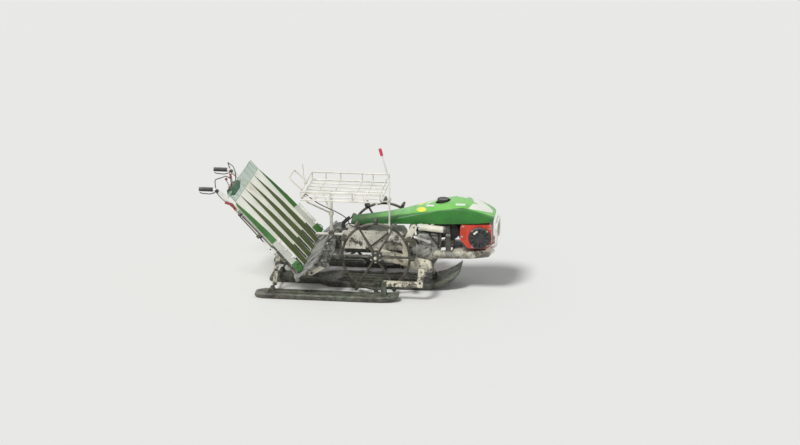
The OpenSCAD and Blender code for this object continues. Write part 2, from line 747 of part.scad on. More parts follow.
module rim(s) color(mud) translate([axle[0], s * wheel_y, axle[1]]) rotate([90, 0, 0]) {
    in = s * (wheel_y - hub_in);
    out = s * (wheel_y - hub_out);
    difference() {
        union() {
            rotate_extrude() translate([rim_r, 0]) circle(rim_tube_r);
            for (i = [0 : spoke_count - 1]) rotate(i * 360 / spoke_count) for (t = [-1, 1])
                rod([hub_r - 8, 0, t * 22], [rim_r, 0, 0], 8);
            translate([0, 0, min(in, out)]) cylinder(h = abs(in - out), r = hub_r);
            for (t = [-1, 1]) translate([0, 0, t * 22 - 4]) cylinder(h = 8, r = hub_r + 12);
        }
        translate([0, 0, -100]) cylinder(h = 200, r = axle_r + run_gap);
    }
}

module lugs(s) color(dark) translate([axle[0], s * wheel_y, axle[1]]) rotate([90, 0, 0]) {
    for (i = [0 : lug_count - 1]) rotate(-90 + i * 360 / lug_count) difference() {
        linear_extrude(lug_w, center = true) polygon([
            [rim_r + 1, -lug_t], [rim_r + 20, -lug_t * 0.8], [wheel_r - 2, -lug_t / 2],
            [sqrt(pow(wheel_r, 2) - pow(lug_t / 2, 2)), lug_t / 2], [rim_r + 20, lug_t * 0.8],
            [rim_r + 1, lug_t]]);
        rotate_extrude() translate([rim_r, 0]) circle(rim_tube_r + seat_gap);
        for (t = [-1, 1]) translate([rim_r - 1, -30, t * lug_w / 2 - (t > 0 ? 22 : 0)])
            cube([16, 60, 22]);
    }
}

module handlebars() color(pale) {
    n = len(handle_path);
    run = unit(handle_path[n - 1] - handle_path[n - 2]);
    foot = handle_path[n - 1] + run * 0.8;
    both() tube(rounded([[foot[0], handle_y, foot[1]], [aft(-1061), handle_y, 837],
        [aft(-1112), handle_y, grip_z], [rear_x + 40, handle_y, grip_z]], 22, 4), handle_d, 12);
    pin_y(cross_bar, 10, -handle_y, handle_y);
}

module grips() color(dark) both() difference() {
    rod([rear_x, handle_y, grip_z], [rear_x + 118, handle_y, grip_z], 17);
    rod([rear_x + 40 - seat_gap, handle_y, grip_z], [rear_x + 140, handle_y, grip_z],
        handle_d / 2 + seat_gap);
}

module console() color(dark) difference() {
    slab(-110, 110) translate(cross_bar) polygon([[-30, -35], [-36, 13], [-2, 45], [38, 39], [35, -25]]);
    pin_y(cross_bar, 10 + seat_gap, -120, 120);
}

module clutch_levers() color("#8c3c3c") {
    slab(-handle_y - 28, -handle_y - 14)
        polygon(ribbon([[aft(-930), 704], [aft(-962), 744], [aft(-1020), 762]], 20));
}

module rack() {
    x0 = rack_rear;
    x1 = rack_front;
    struts = [-268, -141, 45, 138];
    r = rail_d / 2;
    color(cream) {
        for (z = [rack_z, rack_z + rack_h]) {
            both() rod([x0, rack_half, z], [x1, rack_half, z], r);
            for (x = [x0, x1]) rod([x, -rack_half, z], [x, rack_half, z], r);
            for (x = [x0, x1], y = [-1, 1]) translate([x, y * rack_half, z]) sphere(r = r);
        }
        for (x = concat([x0], struts, [x1])) both()
            rod([x, rack_half, rack_z], [x, rack_half, rack_z + rack_h], r * 0.8);
        for (y = [-200 : 100 : 200]) rod([x0, y, rack_z], [x1, y, rack_z], wire_r);
        for (x = struts) rod([x, -rack_half, rack_z], [x, rack_half, rack_z], wire_r);
    }
}

// A gate of bent tube leans back from the rack's rear rail, with a marker rod beside it
module rack_gate() color(pale) {
    z = rack_z + rack_h + rail_d + seat_gap;
    lean = [-100, 92];
    near = 30 - rack_half;
    far = -20;
    tube(rounded([[rack_rear, near, z], [rack_rear + lean[0], near, z + lean[1]],
        [rack_rear + lean[0], far, z + lean[1]], [rack_rear, far, z]], 24, 4), rail_d, 10);
    for (y = [near, far]) translate([rack_rear, y, rack_z + rack_h]) rotate([90, 0, 0])
        difference() {
            cylinder(h = 16, r = rail_d / 2 + 5, center = true);
            cylinder(h = 18, r = rail_d / 2 + seat_gap, center = true);
        }
    marker_y = -rack_half / 3;
    rod([rack_rear, marker_y, z - rail_d / 2], [rack_rear - 14, marker_y, 1050], 5);
}

module rack_column() {
    x = -178;
    r = 13;
    foot_z = beam_center[1] + beam_r + 12;
    color(cream) {
        rod([-310, 0, foot_z], [-80, 0, foot_z], 12);
        rod([x, 0, foot_z], [x, 0, rack_z - wire_r - seat_gap], r);
        translate([x, 0, 588]) cylinder(h = 26, r = 22);
        both() rod([x, 0, 600], [-340, rack_half, rack_z - rail_d / 2 - 6.5], 7);
    }
}

pole_x = 342;
pole_y = 100 - rack_half;
pole_foot = [pole_x, -rear_case_half - seat_gap, 440];
pole_knee = [pole_x, pole_y, 960];
pole_end = [280, pole_y, pole_top - 60];
arch_z = rack_z - rail_d - seat_gap;
module sight_pole() color(pale) {
    tube(rounded([pole_foot, [pole_x, pole_y, pole_foot[2]], pole_knee, pole_end], 30, 5),
        rail_d, 10);
    translate(pole_foot) rotate([90, 0, 0]) cylinder(h = 6, r = 20);
    tube(rounded([[pole_x, pole_y, 738], [322, pole_y - 8, arch_z], [262, pole_y - 28, arch_z],
        [232, pole_y - 40, arch_z - 30]], 12, 4), rail_d * 0.8, 8);
}
module pole_tip() color("#c8284f") {
    run = unit(pole_end - pole_knee);
    rod(pole_end + run * seat_gap, pole_end + run * 61, 13);
}

// Route of a cable from a grip's clamp over to the console: [forward, left share, up]
cable_rows = [[-1100, 1, 876], [-1112, 0.9, 938], [-1040, 0.5, 938], [-1010, 0.32, 900],
    [-1010, 0.32, 832.8]];
module control_cables() color(dark) for (s = [-1, 1])
    tube(rounded([for (r = cable_rows) [aft(r[0]), s * handle_y * r[1], r[2]]], 26, 4), 8, 8);

front_frame();
front_guard();
gearbox();
rear_case();
planting_beam();
planting_cases();
engine();
fan_housing();
recoil_cover();
recoil_grip();
muffler();
air_cleaner();
belt_cover();
fuel_tank();
fuel_cap();
cover_stays();
outriggers();
middle_float();
side_floats();
float_shaft();
guide_rail();
handle_frame();
handlebars();
grips();
console();
clutch_levers();
rack();
rack_gate();
rack_column();
sight_pole();
pole_tip();
control_cables();
swing_case(-1);  // swing_case_right
swing_case(1);  // swing_case_left
rim(-1);  // rim_right
rim(1);  // rim_left
lugs(-1);  // lugs_right
lugs(1);  // lugs_left
lift_cylinder(-1);  // lift_cylinder_right
lift_cylinder(1);  // lift_cylinder_left
lift_rod(-1);  // lift_rod_right
lift_rod(1);  // lift_rod_left
bonnet();
bonnet_hinge();
tray_floor();
tray_fences();
tray_net();
planting_cranks();
planting_arms();
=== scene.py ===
# %% [markdown]
# # A walk-behind rice transplanter
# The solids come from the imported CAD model, which is loaded once and never moved. Each of them
# keeps its place in its own mesh, so every piece that is added here is made in metres in the same
# frame: X forward, Y to the machine's left, Z up from the floor.

# %% Load the frame
import json
import math
import bmesh
import bpy
from mathutils import Matrix, Vector


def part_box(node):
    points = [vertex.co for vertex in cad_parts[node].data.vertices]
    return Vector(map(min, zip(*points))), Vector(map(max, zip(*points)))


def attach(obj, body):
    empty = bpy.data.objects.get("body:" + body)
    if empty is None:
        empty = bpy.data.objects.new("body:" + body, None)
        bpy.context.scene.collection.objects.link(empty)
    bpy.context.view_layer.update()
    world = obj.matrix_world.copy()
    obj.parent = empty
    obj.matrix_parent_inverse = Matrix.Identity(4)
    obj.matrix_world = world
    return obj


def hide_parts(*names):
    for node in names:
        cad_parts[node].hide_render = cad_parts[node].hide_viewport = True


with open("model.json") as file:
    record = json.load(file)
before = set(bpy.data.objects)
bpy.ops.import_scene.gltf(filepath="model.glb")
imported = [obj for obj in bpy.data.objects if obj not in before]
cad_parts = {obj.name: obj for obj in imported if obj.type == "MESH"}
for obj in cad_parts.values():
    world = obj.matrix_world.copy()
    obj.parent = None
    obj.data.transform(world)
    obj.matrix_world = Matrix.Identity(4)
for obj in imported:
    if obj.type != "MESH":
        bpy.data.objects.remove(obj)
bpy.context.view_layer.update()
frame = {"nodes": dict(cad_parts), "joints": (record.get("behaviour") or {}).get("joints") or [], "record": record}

nodes = frame["nodes"]

# %% [markdown]
# ## Places that the frame knows
# The wheels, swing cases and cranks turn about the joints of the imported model, and every solid has
# its box. What sits on them could be typed as numbers, but it is asked for here, so the fittings
# stay true to the model. A place in the side view is a distance forward and a height.

# %% Places from joints and boxes
def joint_at(name):
    """Where a turning joint has its axis."""
    return Vector(next(joint["pos_m"] for joint in frame["joints"] if joint["name"] == name))


def middle_of(node):
    low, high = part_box(node)
    return (Vector(low) + Vector(high)) / 2


def side_view(place):
    return place[0], place[2]


HUB = joint_at("roll_left")
AXLE = side_view(HUB)
PIVOT = side_view(joint_at("lower_left"))
CRANK = side_view(joint_at("turn_cranks"))
STARTER = side_view(middle_of("recoil_cover"))
HALF_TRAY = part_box("tray_floor")[1][1]
for label, place in (("axle", AXLE), ("pivot", PIVOT), ("crank", CRANK), ("starter", STARTER)):
    print(label, "at", [round(c, 4) for c in place])

# %% [markdown]
# ## The camera
# The photograph is taken from far away with a long lens, a little ahead of the machine's right
# side and a little above it. A long lens keeps parallel rails parallel, so the camera stands 18 m
# away. Its aim and distance were worked out from the tray's known width and the handles' spacing.

# %% Camera at the photograph's angle
AIM = Vector((0.406, 0.0, 0.54))
EYE = Vector((2.50, -17.04, 5.95))
lens_data = bpy.data.cameras.new("photo_camera")
lens_data.lens = 96.4
lens_data.sensor_width = 36.0
camera = bpy.data.objects.new("photo_camera", lens_data)
camera.location = EYE
camera.rotation_euler = (AIM - EYE).to_track_quat("-Z", "Y").to_euler()
scene = bpy.context.scene
scene.collection.objects.link(camera)
scene.camera = camera
scene.view_settings.view_transform = "Standard"
print("camera stands", round((AIM - EYE).length, 2), "m from its aim")

# %% [markdown]
# ## Floor and light
# A pale floor and an even sky show the shape without colouring it. The sky lights every side, and
# one wide sun adds a soft shadow. Together they light a flat top at about the level at which its
# colour renders as written. The camera and glossy surfaces see the sky as plain white.

# %% Stage
SKY_LEVEL = 0.38
SUN_LEVEL = 2.45


def painted_world(strength):
    world = bpy.data.worlds.new("even_sky")
    world.use_nodes = True
    tree = world.node_tree
    rays = tree.nodes.new("ShaderNodeLightPath")
    seen = tree.nodes.new("ShaderNodeMath")
    seen.operation = "MAXIMUM"
    level = tree.nodes.new("ShaderNodeMapRange")
    level.inputs["To Min"].default_value = strength
    level.inputs["To Max"].default_value = 1.0
    tree.links.new(rays.outputs["Is Camera Ray"], seen.inputs[0])
    tree.links.new(rays.outputs["Is Glossy Ray"], seen.inputs[1])
    tree.links.new(seen.outputs[0], level.inputs["Value"])
    tree.links.new(level.outputs["Result"], tree.nodes["Background"].inputs["Strength"])
    tree.nodes["Background"].inputs["Color"].default_value = (1.0, 1.0, 1.0, 1.0)
    return world


scene.world = painted_world(SKY_LEVEL)

sun_data = bpy.data.lights.new("wide_sun", "SUN")
sun_data.energy = SUN_LEVEL
sun_data.angle = math.radians(16)
sun = bpy.data.objects.new("wide_sun", sun_data)
sun.rotation_euler = Vector((0.35, 0.62, -1.0)).to_track_quat("-Z", "Y").to_euler()
scene.collection.objects.link(sun)
print("sky", SKY_LEVEL, "sun", SUN_LEVEL)

# %% Floor
HALF_FLOOR = 60.0
FLOOR_LEVEL = -0.0005
floor_mesh = bpy.data.meshes.new("floor")
corners = [(x * HALF_FLOOR, y * HALF_FLOOR, FLOOR_LEVEL)
           for x, y in ((-1, -1), (1, -1), (1, 1), (-1, 1))]
floor_mesh.from_pydata(corners, [], [(0, 1, 2, 3)])
floor = bpy.data.objects.new("floor", floor_mesh)
scene.collection.objects.link(floor)
floor_paint = bpy.data.materials.new("pale_floor")
floor_paint.use_nodes = True
floor_shader = floor_paint.node_tree.nodes["Principled BSDF"]
floor_shader.inputs["Base Color"].default_value = (0.78, 0.78, 0.76, 1.0)
floor_shader.inputs["Roughness"].default_value = 0.9
floor_mesh.materials.append(floor_paint)
print("floor at", FLOOR_LEVEL)

# %% [markdown]
# ## Finishes
# The machine is well used. Every surface has three layers: the finish itself with slight changes
# of tone, pale dust where it faces up, and grey mud that thickens towards the floor. The layers
# could be painted on each piece, but they are worked out from noise and height instead, so the mud
# line runs on from one piece to the next. A small class keeps the calls for shader nodes short.

# %% Colours and a helper for shader nodes
def rgb(r, g, b):
    """Screen colour 0 to 255 as the linear colour that a shader takes."""
    return tuple(c / 12.92 if c <= 0.04045 else ((c + 0.055) / 1.055) ** 2.4
                 for c in (r / 255, g / 255, b / 255)) + (1.0,)


MUD = rgb(92, 90, 78)
DUST = rgb(196, 190, 170)


def shade_of(color, share):
    """The same colour, darker or lighter."""
    return tuple(min(c * share, 1.0) for c in color[:3]) + (1.0,)


class Graph:
    """A material's node tree with short calls for the nodes that the finishes use."""

    def __init__(self, name):
        self.material = bpy.data.materials.new(name)
        self.material.use_nodes = True
        self.tree = self.material.node_tree
        self.shader = self.tree.nodes["Principled BSDF"]
        self.place = self.tree.nodes.new("ShaderNodeTexCoord").outputs["Object"]

    def wire(self, value, socket):
        if isinstance(value, bpy.types.NodeSocket):
            self.tree.links.new(value, socket)
        else:
            socket.default_value = value

    def noise(self, scale, detail=4.0, rough=0.6, place=None):
        node = self.tree.nodes.new("ShaderNodeTexNoise")
        node.inputs["Scale"].default_value = scale
        node.inputs["Detail"].default_value = detail
        node.inputs["Roughness"].default_value = rough
        self.wire(place or self.place, node.inputs["Vector"])
        return node.outputs["Fac"]

    def stretched(self, scale):
        node = self.tree.nodes.new("ShaderNodeMapping")
        node.inputs["Scale"].default_value = scale
        self.wire(self.place, node.inputs["Vector"])
        return node.outputs["Vector"]

    def math(self, kind, a, b=0.0):
        node = self.tree.nodes.new("ShaderNodeMath")
        node.operation = kind
        self.wire(a, node.inputs[0])
        self.wire(b, node.inputs[1])
        return node.outputs[0]

    def plus(self, a, b):
        return self.math("ADD", a, b)

    def minus(self, a, b):
        return self.math("SUBTRACT", a, b)

    def times(self, a, b):
        return self.math("MULTIPLY", a, b)

    def most(self, a, b):
        return self.math("MAXIMUM", a, b)

    def span(self, value, low, high, to_low=0.0, to_high=1.0):
        node = self.tree.nodes.new("ShaderNodeMapRange")
        node.interpolation_type = "SMOOTHSTEP"
        for name, v in (("Value", value), ("From Min", low), ("From Max", high),
                        ("To Min", to_low), ("To Max", to_high)):
            self.wire(v, node.inputs[name])
        return node.outputs["Result"]

    def mix(self, share, a, b):
        node = self.tree.nodes.new("ShaderNodeMix")
        node.data_type = "RGBA"
        self.wire(share, node.inputs["Factor"])
        self.wire(a, node.inputs[6])
        self.wire(b, node.inputs[7])
        return node.outputs[2]

    def blend(self, share, a, b):
        node = self.tree.nodes.new("ShaderNodeMix")
        self.wire(share, node.inputs["Factor"])
        self.wire(a, node.inputs[2])
        self.wire(b, node.inputs[3])
        return node.outputs[0]

    def axis(self, name, source=None):
        node = self.tree.nodes.new("ShaderNodeSeparateXYZ")
        self.wire(source or self.place, node.inputs[0])
        return node.outputs[name]

    def along(self, direction, origin):
        """Distance from an origin along a direction in the side plane."""
        forward = self.times(self.axis("X"), direction.x)
        up = self.times(self.axis("Z"), direction.z)
        return self.minus(self.plus(forward, up), direction.dot(origin))

    def facing_up(self):
        return self.axis("Z", self.tree.nodes.new("ShaderNodeNewGeometry").outputs["Normal"])

    def bump(self, height, distance, strength, under=None):
        node = self.tree.nodes.new("ShaderNodeBump")
        node.inputs["Strength"].default_value = strength
        node.inputs["Distance"].default_value = distance
        self.wire(height, node.inputs["Height"])
        if under is not None:
            self.wire(under, node.inputs["Normal"])
        return node.outputs["Normal"]


print("mud", [round(c, 3) for c in MUD[:3]], "dust", [round(c, 3) for c in DUST[:3]])

# %% [markdown]
# ## Mud and the layers
# Mud covers everything below a ragged line, splashes a little above it, and is thrown in patches
# and specks up to a second line on the parts beside the wheels. All of it depends on height alone,
# so it fits from piece to piece. Small values in metres set how high each finish is soiled.

# %% Mud mask and layered finish
WANDER = 2.6  # how far the mud line wanders, in shares of the reach


def mud_mask(g, top, reach, splatter, splatter_top):
    """1 where mud covers a surface, 0 where it is clean."""
    height = g.axis("Z")
    ragged = g.times(g.minus(g.noise(6.5, 8.0, 0.72), 0.5), WANDER * reach)
    wet = g.span(g.plus(height, ragged), top, top - reach)
    splash = g.times(g.span(g.noise(52.0, 3.0, 0.5), 0.66, 0.70),
                     g.span(height, top + WANDER * reach, top, 0.0, 0.8))
    caked = g.most(wet, splash)
    if splatter:
        patch = g.span(g.noise(8.5, 9.0, 0.74), 0.60 - 0.12 * splatter, 0.64 - 0.12 * splatter)
        speck = g.span(g.noise(70.0, 3.0, 0.6), 0.62, 0.66)
        low_down = g.span(height, splatter_top, splatter_top - 0.20)
        caked = g.most(caked, g.times(g.times(g.most(patch, speck), low_down), 0.93))
    return caked


SOIL = (0.30, 0.16, 0.0, 0.60)  # mud's height, its ragged reach, splatter's share and its height


def finish(name, color, rough, metallic=0.0, mottle=0.12, grain=0.0003, grain_scale=260.0,
           dust=0.35, coat=0.0, chips=0.0, under=rgb(88, 70, 56), stain=None, soil=SOIL,
           patches=None):
    """A used surface: tone changes, chips, dust on top and mud towards the floor. A short soil
    keeps the last values of SOIL."""
    g = Graph(name)
    inputs = g.shader.inputs
    tone = g.span(g.noise(7.0, 5.0), 0.3, 0.7)
    paint = g.mix(tone, shade_of(color, 1.0 - 2.2 * mottle), shade_of(color, 1.0 + 0.6 * mottle))
    shade = rough
    for mask, tint in patches(g) if patches else ():
        paint = g.mix(mask, paint, g.mix(tone, shade_of(tint, 0.8), tint))
    if stain is not None:
        streak = g.noise(3.0, 6.0, 0.7, g.stretched((1.0, 1.0, 0.35)))
        paint = g.mix(g.span(streak, 0.52, 0.72, 0.0, 0.75), paint, stain)
    if chips:
        chip = g.span(g.noise(34.0, 6.0, 0.75), 0.70 - 0.06 * chips, 0.72 - 0.06 * chips)
        paint = g.mix(chip, paint, under)
        shade = g.blend(chip, shade, 0.8)
    dusty = g.times(g.span(g.facing_up(), 0.1, 0.9, 0.12, 1.0),
                    g.span(g.noise(11.0, 6.0, 0.7), 0.38, 0.72, 0.0, dust))
    paint = g.mix(dusty, paint, DUST)
    shade = g.blend(dusty, shade, 0.85)
    caked = mud_mask(g, *soil, *SOIL[len(soil):])
    mud_tone = g.mix(g.span(g.noise(19.0, 5.0), 0.35, 0.65), shade_of(MUD, 0.28), MUD)
    mud_shade = g.span(g.noise(9.0), 0.35, 0.65, 0.34, 0.8)
    g.wire(g.mix(caked, paint, mud_tone), inputs["Base Color"])
    g.wire(g.blend(caked, shade, mud_shade), inputs["Roughness"])
    if metallic:
        g.wire(g.times(metallic, g.minus(1.0, caked)), inputs["Metallic"])
    fine = g.bump(g.noise(grain_scale, 3.0), grain, 0.6)
    lumps = g.times(caked, g.noise(38.0, 6.0, 0.65))
    g.wire(g.bump(lumps, 0.006, 0.8, fine), inputs["Normal"])
    inputs["Coat Weight"].default_value = coat
    inputs["Coat Roughness"].default_value = 0.2
    return g.material


print("layers: paint, chips, dust, mud")

# %% [markdown]
# ## Places on the tray
# The tray slopes, so its fittings and its paint are placed along the slope: a distance up the
# floor and a height off it. One helper turns both into a place in the machine's frame.

# %% The tray's own directions
SLOPE = math.radians(47.7)
TRAY_FOOT = Vector((-0.354, 0.0, 0.230))
UP_SLOPE = Vector((-math.cos(SLOPE), 0.0, math.sin(SLOPE)))
OFF_FLOOR = Vector((math.sin(SLOPE), 0.0, math.cos(SLOPE)))
TRAY_TURN = Matrix((UP_SLOPE, Vector((0.0, 1.0, 0.0)), OFF_FLOOR)).transposed()


def on_tray(up, y, off=0.0):
    return TRAY_FOOT + UP_SLOPE * up + OFF_FLOOR * off + Vector((0.0, y, 0.0))


print("tray top at", [round(c, 3) for c in on_tray(0.8, 0.0)])

# %% [markdown]
# ## One finish for each material slot
# The colours are the ones that the machine shows under an even sky. Paints are glossy where they
# were sprayed over sheet metal, castings are rougher, and the wheels and floats are hidden under
# mud.

# %% Places painted on their own
def fence_places(g):
    """Inner fences are olive; the outer ones turn pale at the tray's lower end. The skirts below
    the floor are pale, and dark grey on their lower part, towards the tray's lower end."""
    away = g.math("ABSOLUTE", g.axis("Y"))
    up = g.along(UP_SLOPE, TRAY_FOOT)
    inner = g.span(away, 0.499, 0.497)
    outer = g.span(away, 0.499, 0.500)
    low_end = g.times(g.span(up, 0.345, 0.335), g.span(up, 0.106, 0.108))
    skirt = g.times(outer, g.span(g.along(OFF_FLOOR, TRAY_FOOT), -0.012, -0.014))
    return [(inner, rgb(84, 98, 58)),
            (g.times(outer, low_end), rgb(204, 206, 196)),
            (skirt, rgb(186, 188, 178)),
            # the skirts turn dark grey towards the tray's lower end
            (g.times(skirt, g.span(up, 0.345, 0.315)), rgb(82, 86, 74))]


def greasy_stay(g):
    """Oil and soot darken the lift's stay and the cylinders' front ends."""
    x, up = g.axis("X"), g.axis("Z")
    along = g.times(g.span(x, 0.785, 0.800), g.span(x, 0.875, 0.870))
    return [(g.times(along, g.span(up, 0.345, 0.365)), rgb(74, 73, 68))]


print("places painted on the fences and on the lift's stay")

# %% Finishes by slot
CAST = {"metallic": 0.15, "grain": 0.0008, "grain_scale": 170.0}
RUST = rgb(120, 84, 58)
FINISHES = {}


def for_slot(slot, color, rough, **more):
    FINISHES[slot] = finish(slot, color, rough, **more)


for_slot("cream_paint", rgb(228, 224, 206), 0.42, chips=0.6, coat=0.15, stain=rgb(140, 126, 98),
         soil=(0.34, 0.2, 0.75))
for_slot("white_paint", rgb(244, 243, 236), 0.35, chips=0.35, coat=0.2, soil=(0.2,))
for_slot("grey_casting", rgb(182, 184, 178), 0.6, chips=0.3, soil=(0.30, 0.16, 0.6), **CAST)
for_slot("green_plastic", rgb(122, 196, 96), 0.32, mottle=0.06, dust=0.25, coat=0.3, soil=(0.2,))
for_slot("fence_green", rgb(60, 116, 50), 0.5, mottle=0.14, dust=0.3, soil=(0.26,),
         patches=fence_places)
for_slot("net_green", rgb(58, 138, 96), 0.45, mottle=0.1, dust=0.1, soil=(0.1,))
for_slot("lane_white", rgb(250, 250, 240), 0.45, mottle=0.03, dust=0.05, stain=rgb(196, 188, 158),
         soil=(0.28, 0.12))
for_slot("orange_paint", rgb(208, 56, 28), 0.38, mottle=0.08, chips=0.3, coat=0.25)
for_slot("black_plastic", rgb(44, 46, 48), 0.55, mottle=0.1, dust=0.4, grain=0.0004)
for_slot("engine_metal", rgb(120, 120, 116), 0.5, metallic=0.5, grain=0.0007, grain_scale=200.0)
for_slot("hot_metal", rgb(48, 46, 44), 0.7, metallic=0.4, chips=1.2, under=rgb(112, 70, 46))
for_slot("steel", rgb(176, 178, 174), 0.38, metallic=0.75, dust=0.2, chips=0.6, under=RUST)
for_slot("wheel_mud", rgb(96, 94, 82), 0.6, grain=0.001, soil=(0.62, 0.22))
for_slot("lug_rubber", rgb(58, 58, 54), 0.7, grain=0.001, soil=(0.60, 0.22))
for_slot("float_grey", rgb(92, 104, 88), 0.5, soil=(0.12, 0.12, 0.9, 0.3))
for_slot("lever_red", rgb(146, 58, 58), 0.45, mottle=0.1)
for_slot("tip_red", rgb(206, 48, 88), 0.35, mottle=0.06, coat=0.3, dust=0.1)
print("finishes by slot", len(FINISHES))

# %% [markdown]
# ## Finishes for single parts
# Parts in one paint are not soiled alike: the long case and the lift's arms stay fairly clean, and
# the front beams and planting gear do not. These parts get a finish of their own, found by the
# start of their name.

# %% Finishes by part
BY_PART = {}


def for_part(start, name, color, rough, **more):
    BY_PART[start] = finish(name, color, rough, **more)


for_part("rear_case", "rear_case_paint", rgb(232, 228, 212), 0.45, chips=0.6, coat=0.1,
         stain=rgb(132, 122, 98), soil=(0.30, 0.14, 0.42))
for_part("front_frame", "front_frame_paint", rgb(226, 222, 204), 0.45, chips=0.7, coat=0.1,
         stain=rgb(120, 108, 84), soil=(0.37, 0.10, 0.95, 0.50), patches=greasy_stay)
for_part("swing_case", "swing_case_paint", rgb(236, 231, 212), 0.4, chips=0.5, coat=0.2,
         stain=rgb(150, 138, 108), soil=(0.27, 0.14, 0.3))
for_part("lift_cylinder", "lift_cylinder_paint", rgb(232, 228, 210), 0.4, chips=0.5, coat=0.2,
         soil=(0.2, 0.16, 0.3), patches=greasy_stay)
for_part("rack", "rack_paint", rgb(240, 238, 226), 0.4, chips=0.7, coat=0.15, dust=0.2,
         stain=rgb(176, 160, 124), soil=(0.34,))
for_part("outriggers", "outrigger_paint", rgb(222, 216, 194), 0.45, chips=0.7, coat=0.1,
         stain=rgb(128, 116, 90), soil=(0.11, 0.10, 0.8))
for_part("handle_frame", "handle_frame_paint", rgb(226, 221, 202), 0.45, chips=0.6, coat=0.1,
         stain=rgb(140, 126, 98), soil=(0.15, 0.12, 0.7, 0.50))
for_part("planting", "planting_castings", rgb(150, 152, 146), 0.6, chips=0.4,
         soil=(0.34, 0.22, 0.95, 0.62), **CAST)
for_part("guide_rail", "guide_rail_zinc", rgb(160, 162, 158), 0.58, metallic=0.25, mottle=0.16,
         grain=0.0006, chips=0.5, under=RUST, soil=(0.20, 0.16, 0.55, 0.48))
for_part("gearbox", "gearbox_casting", rgb(196, 197, 190), 0.6, chips=0.3,
         soil=(0.27, 0.16, 0.35), **CAST)
slot_of = {part["node"]: part["material_slot"] for part in frame["record"]["subparts"]}
for name, node in nodes.items():
    node.data.materials.clear()
    own = [paint for start, paint in BY_PART.items() if name.startswith(start)]
    node.data.materials.append(own[0] if own else FINISHES[slot_of[name]])
print("finishes by part", len(BY_PART))

# %% [markdown]
# ## Trees that make repeated pieces
# Bolts, weld beads, clods and net strands are many copies of one small form, so Geometry Nodes
# make them. A small class holds a tree that is being built. Each tree ends in Realize Instances
# and Set Material, and its result is turned into a plain mesh, because only plain meshes are
# exported.

# %% Helper for node trees
class Tree:
    """A Geometry Nodes tree with named size inputs."""

    def __init__(self, name, sizes):
        self.group = bpy.data.node_groups.new(name, "GeometryNodeTree")
        face = self.group.interface
        face.new_socket("Geometry", in_out="INPUT", socket_type="NodeSocketGeometry")
        face.new_socket("Geometry", in_out="OUTPUT", socket_type="NodeSocketGeometry")
        for label, value in sizes.items():
            kind = "NodeSocketInt" if isinstance(value, int) else "NodeSocketFloat"
            face.new_socket(label, in_out="INPUT", socket_type=kind).default_value = value
        self.start = self.group.nodes.new("NodeGroupInput")
        self.end = self.group.nodes.new("NodeGroupOutput")
        self.given = self.start.outputs["Geometry"]

    def size(self, label):
        return self.start.outputs[label]

    def add(self, kind, values=None, **settings):
        node = self.group.nodes.new(kind)
        for key, value in settings.items():
            setattr(node, key, value)
        for key, value in (values or {}).items():
            socket = node.inputs[key]
            if isinstance(value, bpy.types.NodeSocket):
                self.group.links.new(value, socket)
            else:
                socket.default_value = value
        return node

    def geo(self, kind, values=None, **settings):
        return self.add("GeometryNode" + kind, values, **settings)

    def math(self, kind, a, b):
        return self.add("ShaderNodeMath", {0: a, 1: b}, operation=kind).outputs[0]

    def times(self, a, b):
        return self.math("MULTIPLY", a, b)

    def ramp(self, value, low, high):
        values = {0: value, 1: low, 2: high, 3: 0.0, 4: 1.0}
        return self.add("ShaderNodeMapRange", values).outputs[0]

    def noise(self, scale, detail):
        return self.add("ShaderNodeTexNoise", {"Scale": scale, "Detail": detail}).outputs[0]

    def part(self, vector, number):
        return self.add("ShaderNodeSeparateXYZ", {0: vector}).outputs[number]

    def reading(self, what):
        return self.geo("Input" + what).outputs[0]

    def direction(self, label):
        return self.geo("InputNamedAttribute", {"Name": label}, data_type="FLOAT_VECTOR").outputs[0]

    def chance(self, low, high):
        values = {2: low, 3: high, "Seed": self.size("Seed")}
        return self.add("FunctionNodeRandomValue", values, data_type="FLOAT").outputs[1]

    def pushed_out(self, mesh, share):
        """The mesh with its points moved along their normals."""
        push = self.add("ShaderNodeVectorMath", {0: self.reading("Normal"), "Scale": share},
                        operation="SCALE").outputs[0]
        return self.geo("SetPosition", {"Geometry": mesh, "Offset": push}).outputs[0]

    def copies(self, points, instance, **placing):
        """A copy of the instance on every point, turned and scaled as told."""
        values = {"Points": points, "Instance": instance, **placing}
        return self.geo("InstanceOnPoints", values).outputs[0]

    def end_with(self, geometry):
        self.group.links.new(geometry, self.end.inputs["Geometry"])
        return self.group

    def close(self, geometry, material):
        real = self.geo("RealizeInstances", {"Geometry": geometry}).outputs[0]
        done = self.geo("SetMaterial", {"Geometry": real, "Material": material})
        return self.end_with(done.outputs[0])


print("helper for trees ready")

# %% From a tree to a piece
def triangles(mesh):
    return sum(len(p.vertices) - 2 for p in mesh.polygons)


def link(name, mesh, body=None):
    """An object for a mesh. A piece rides on a body; a draft has none."""
    piece = bpy.data.objects.new(name, mesh)
    scene.collection.objects.link(piece)
    if body is not None:
        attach(piece, body)
        print(name, "rides on", body, "with", triangles(mesh), "triangles")
    return piece


def grown_mesh(name, mesh, group, sizes=None):
    """The mesh that a tree makes from a start mesh, as plain mesh data."""
    seedling = link(name + "_start", mesh)
    modifier = seedling.modifiers.new("grow", "NODES")
    modifier.node_group = group
    for item in group.interface.items_tree:
        if item.item_type == "SOCKET" and item.in_out == "INPUT" and sizes and item.name in sizes:
            modifier[item.identifier] = sizes[item.name]
    graph = bpy.context.evaluated_depsgraph_get()
    graph.update()
    result = bpy.data.meshes.new_from_object(seedling.evaluated_get(graph), depsgraph=graph)
    bpy.data.objects.remove(seedling)
    result.name = name
    return result


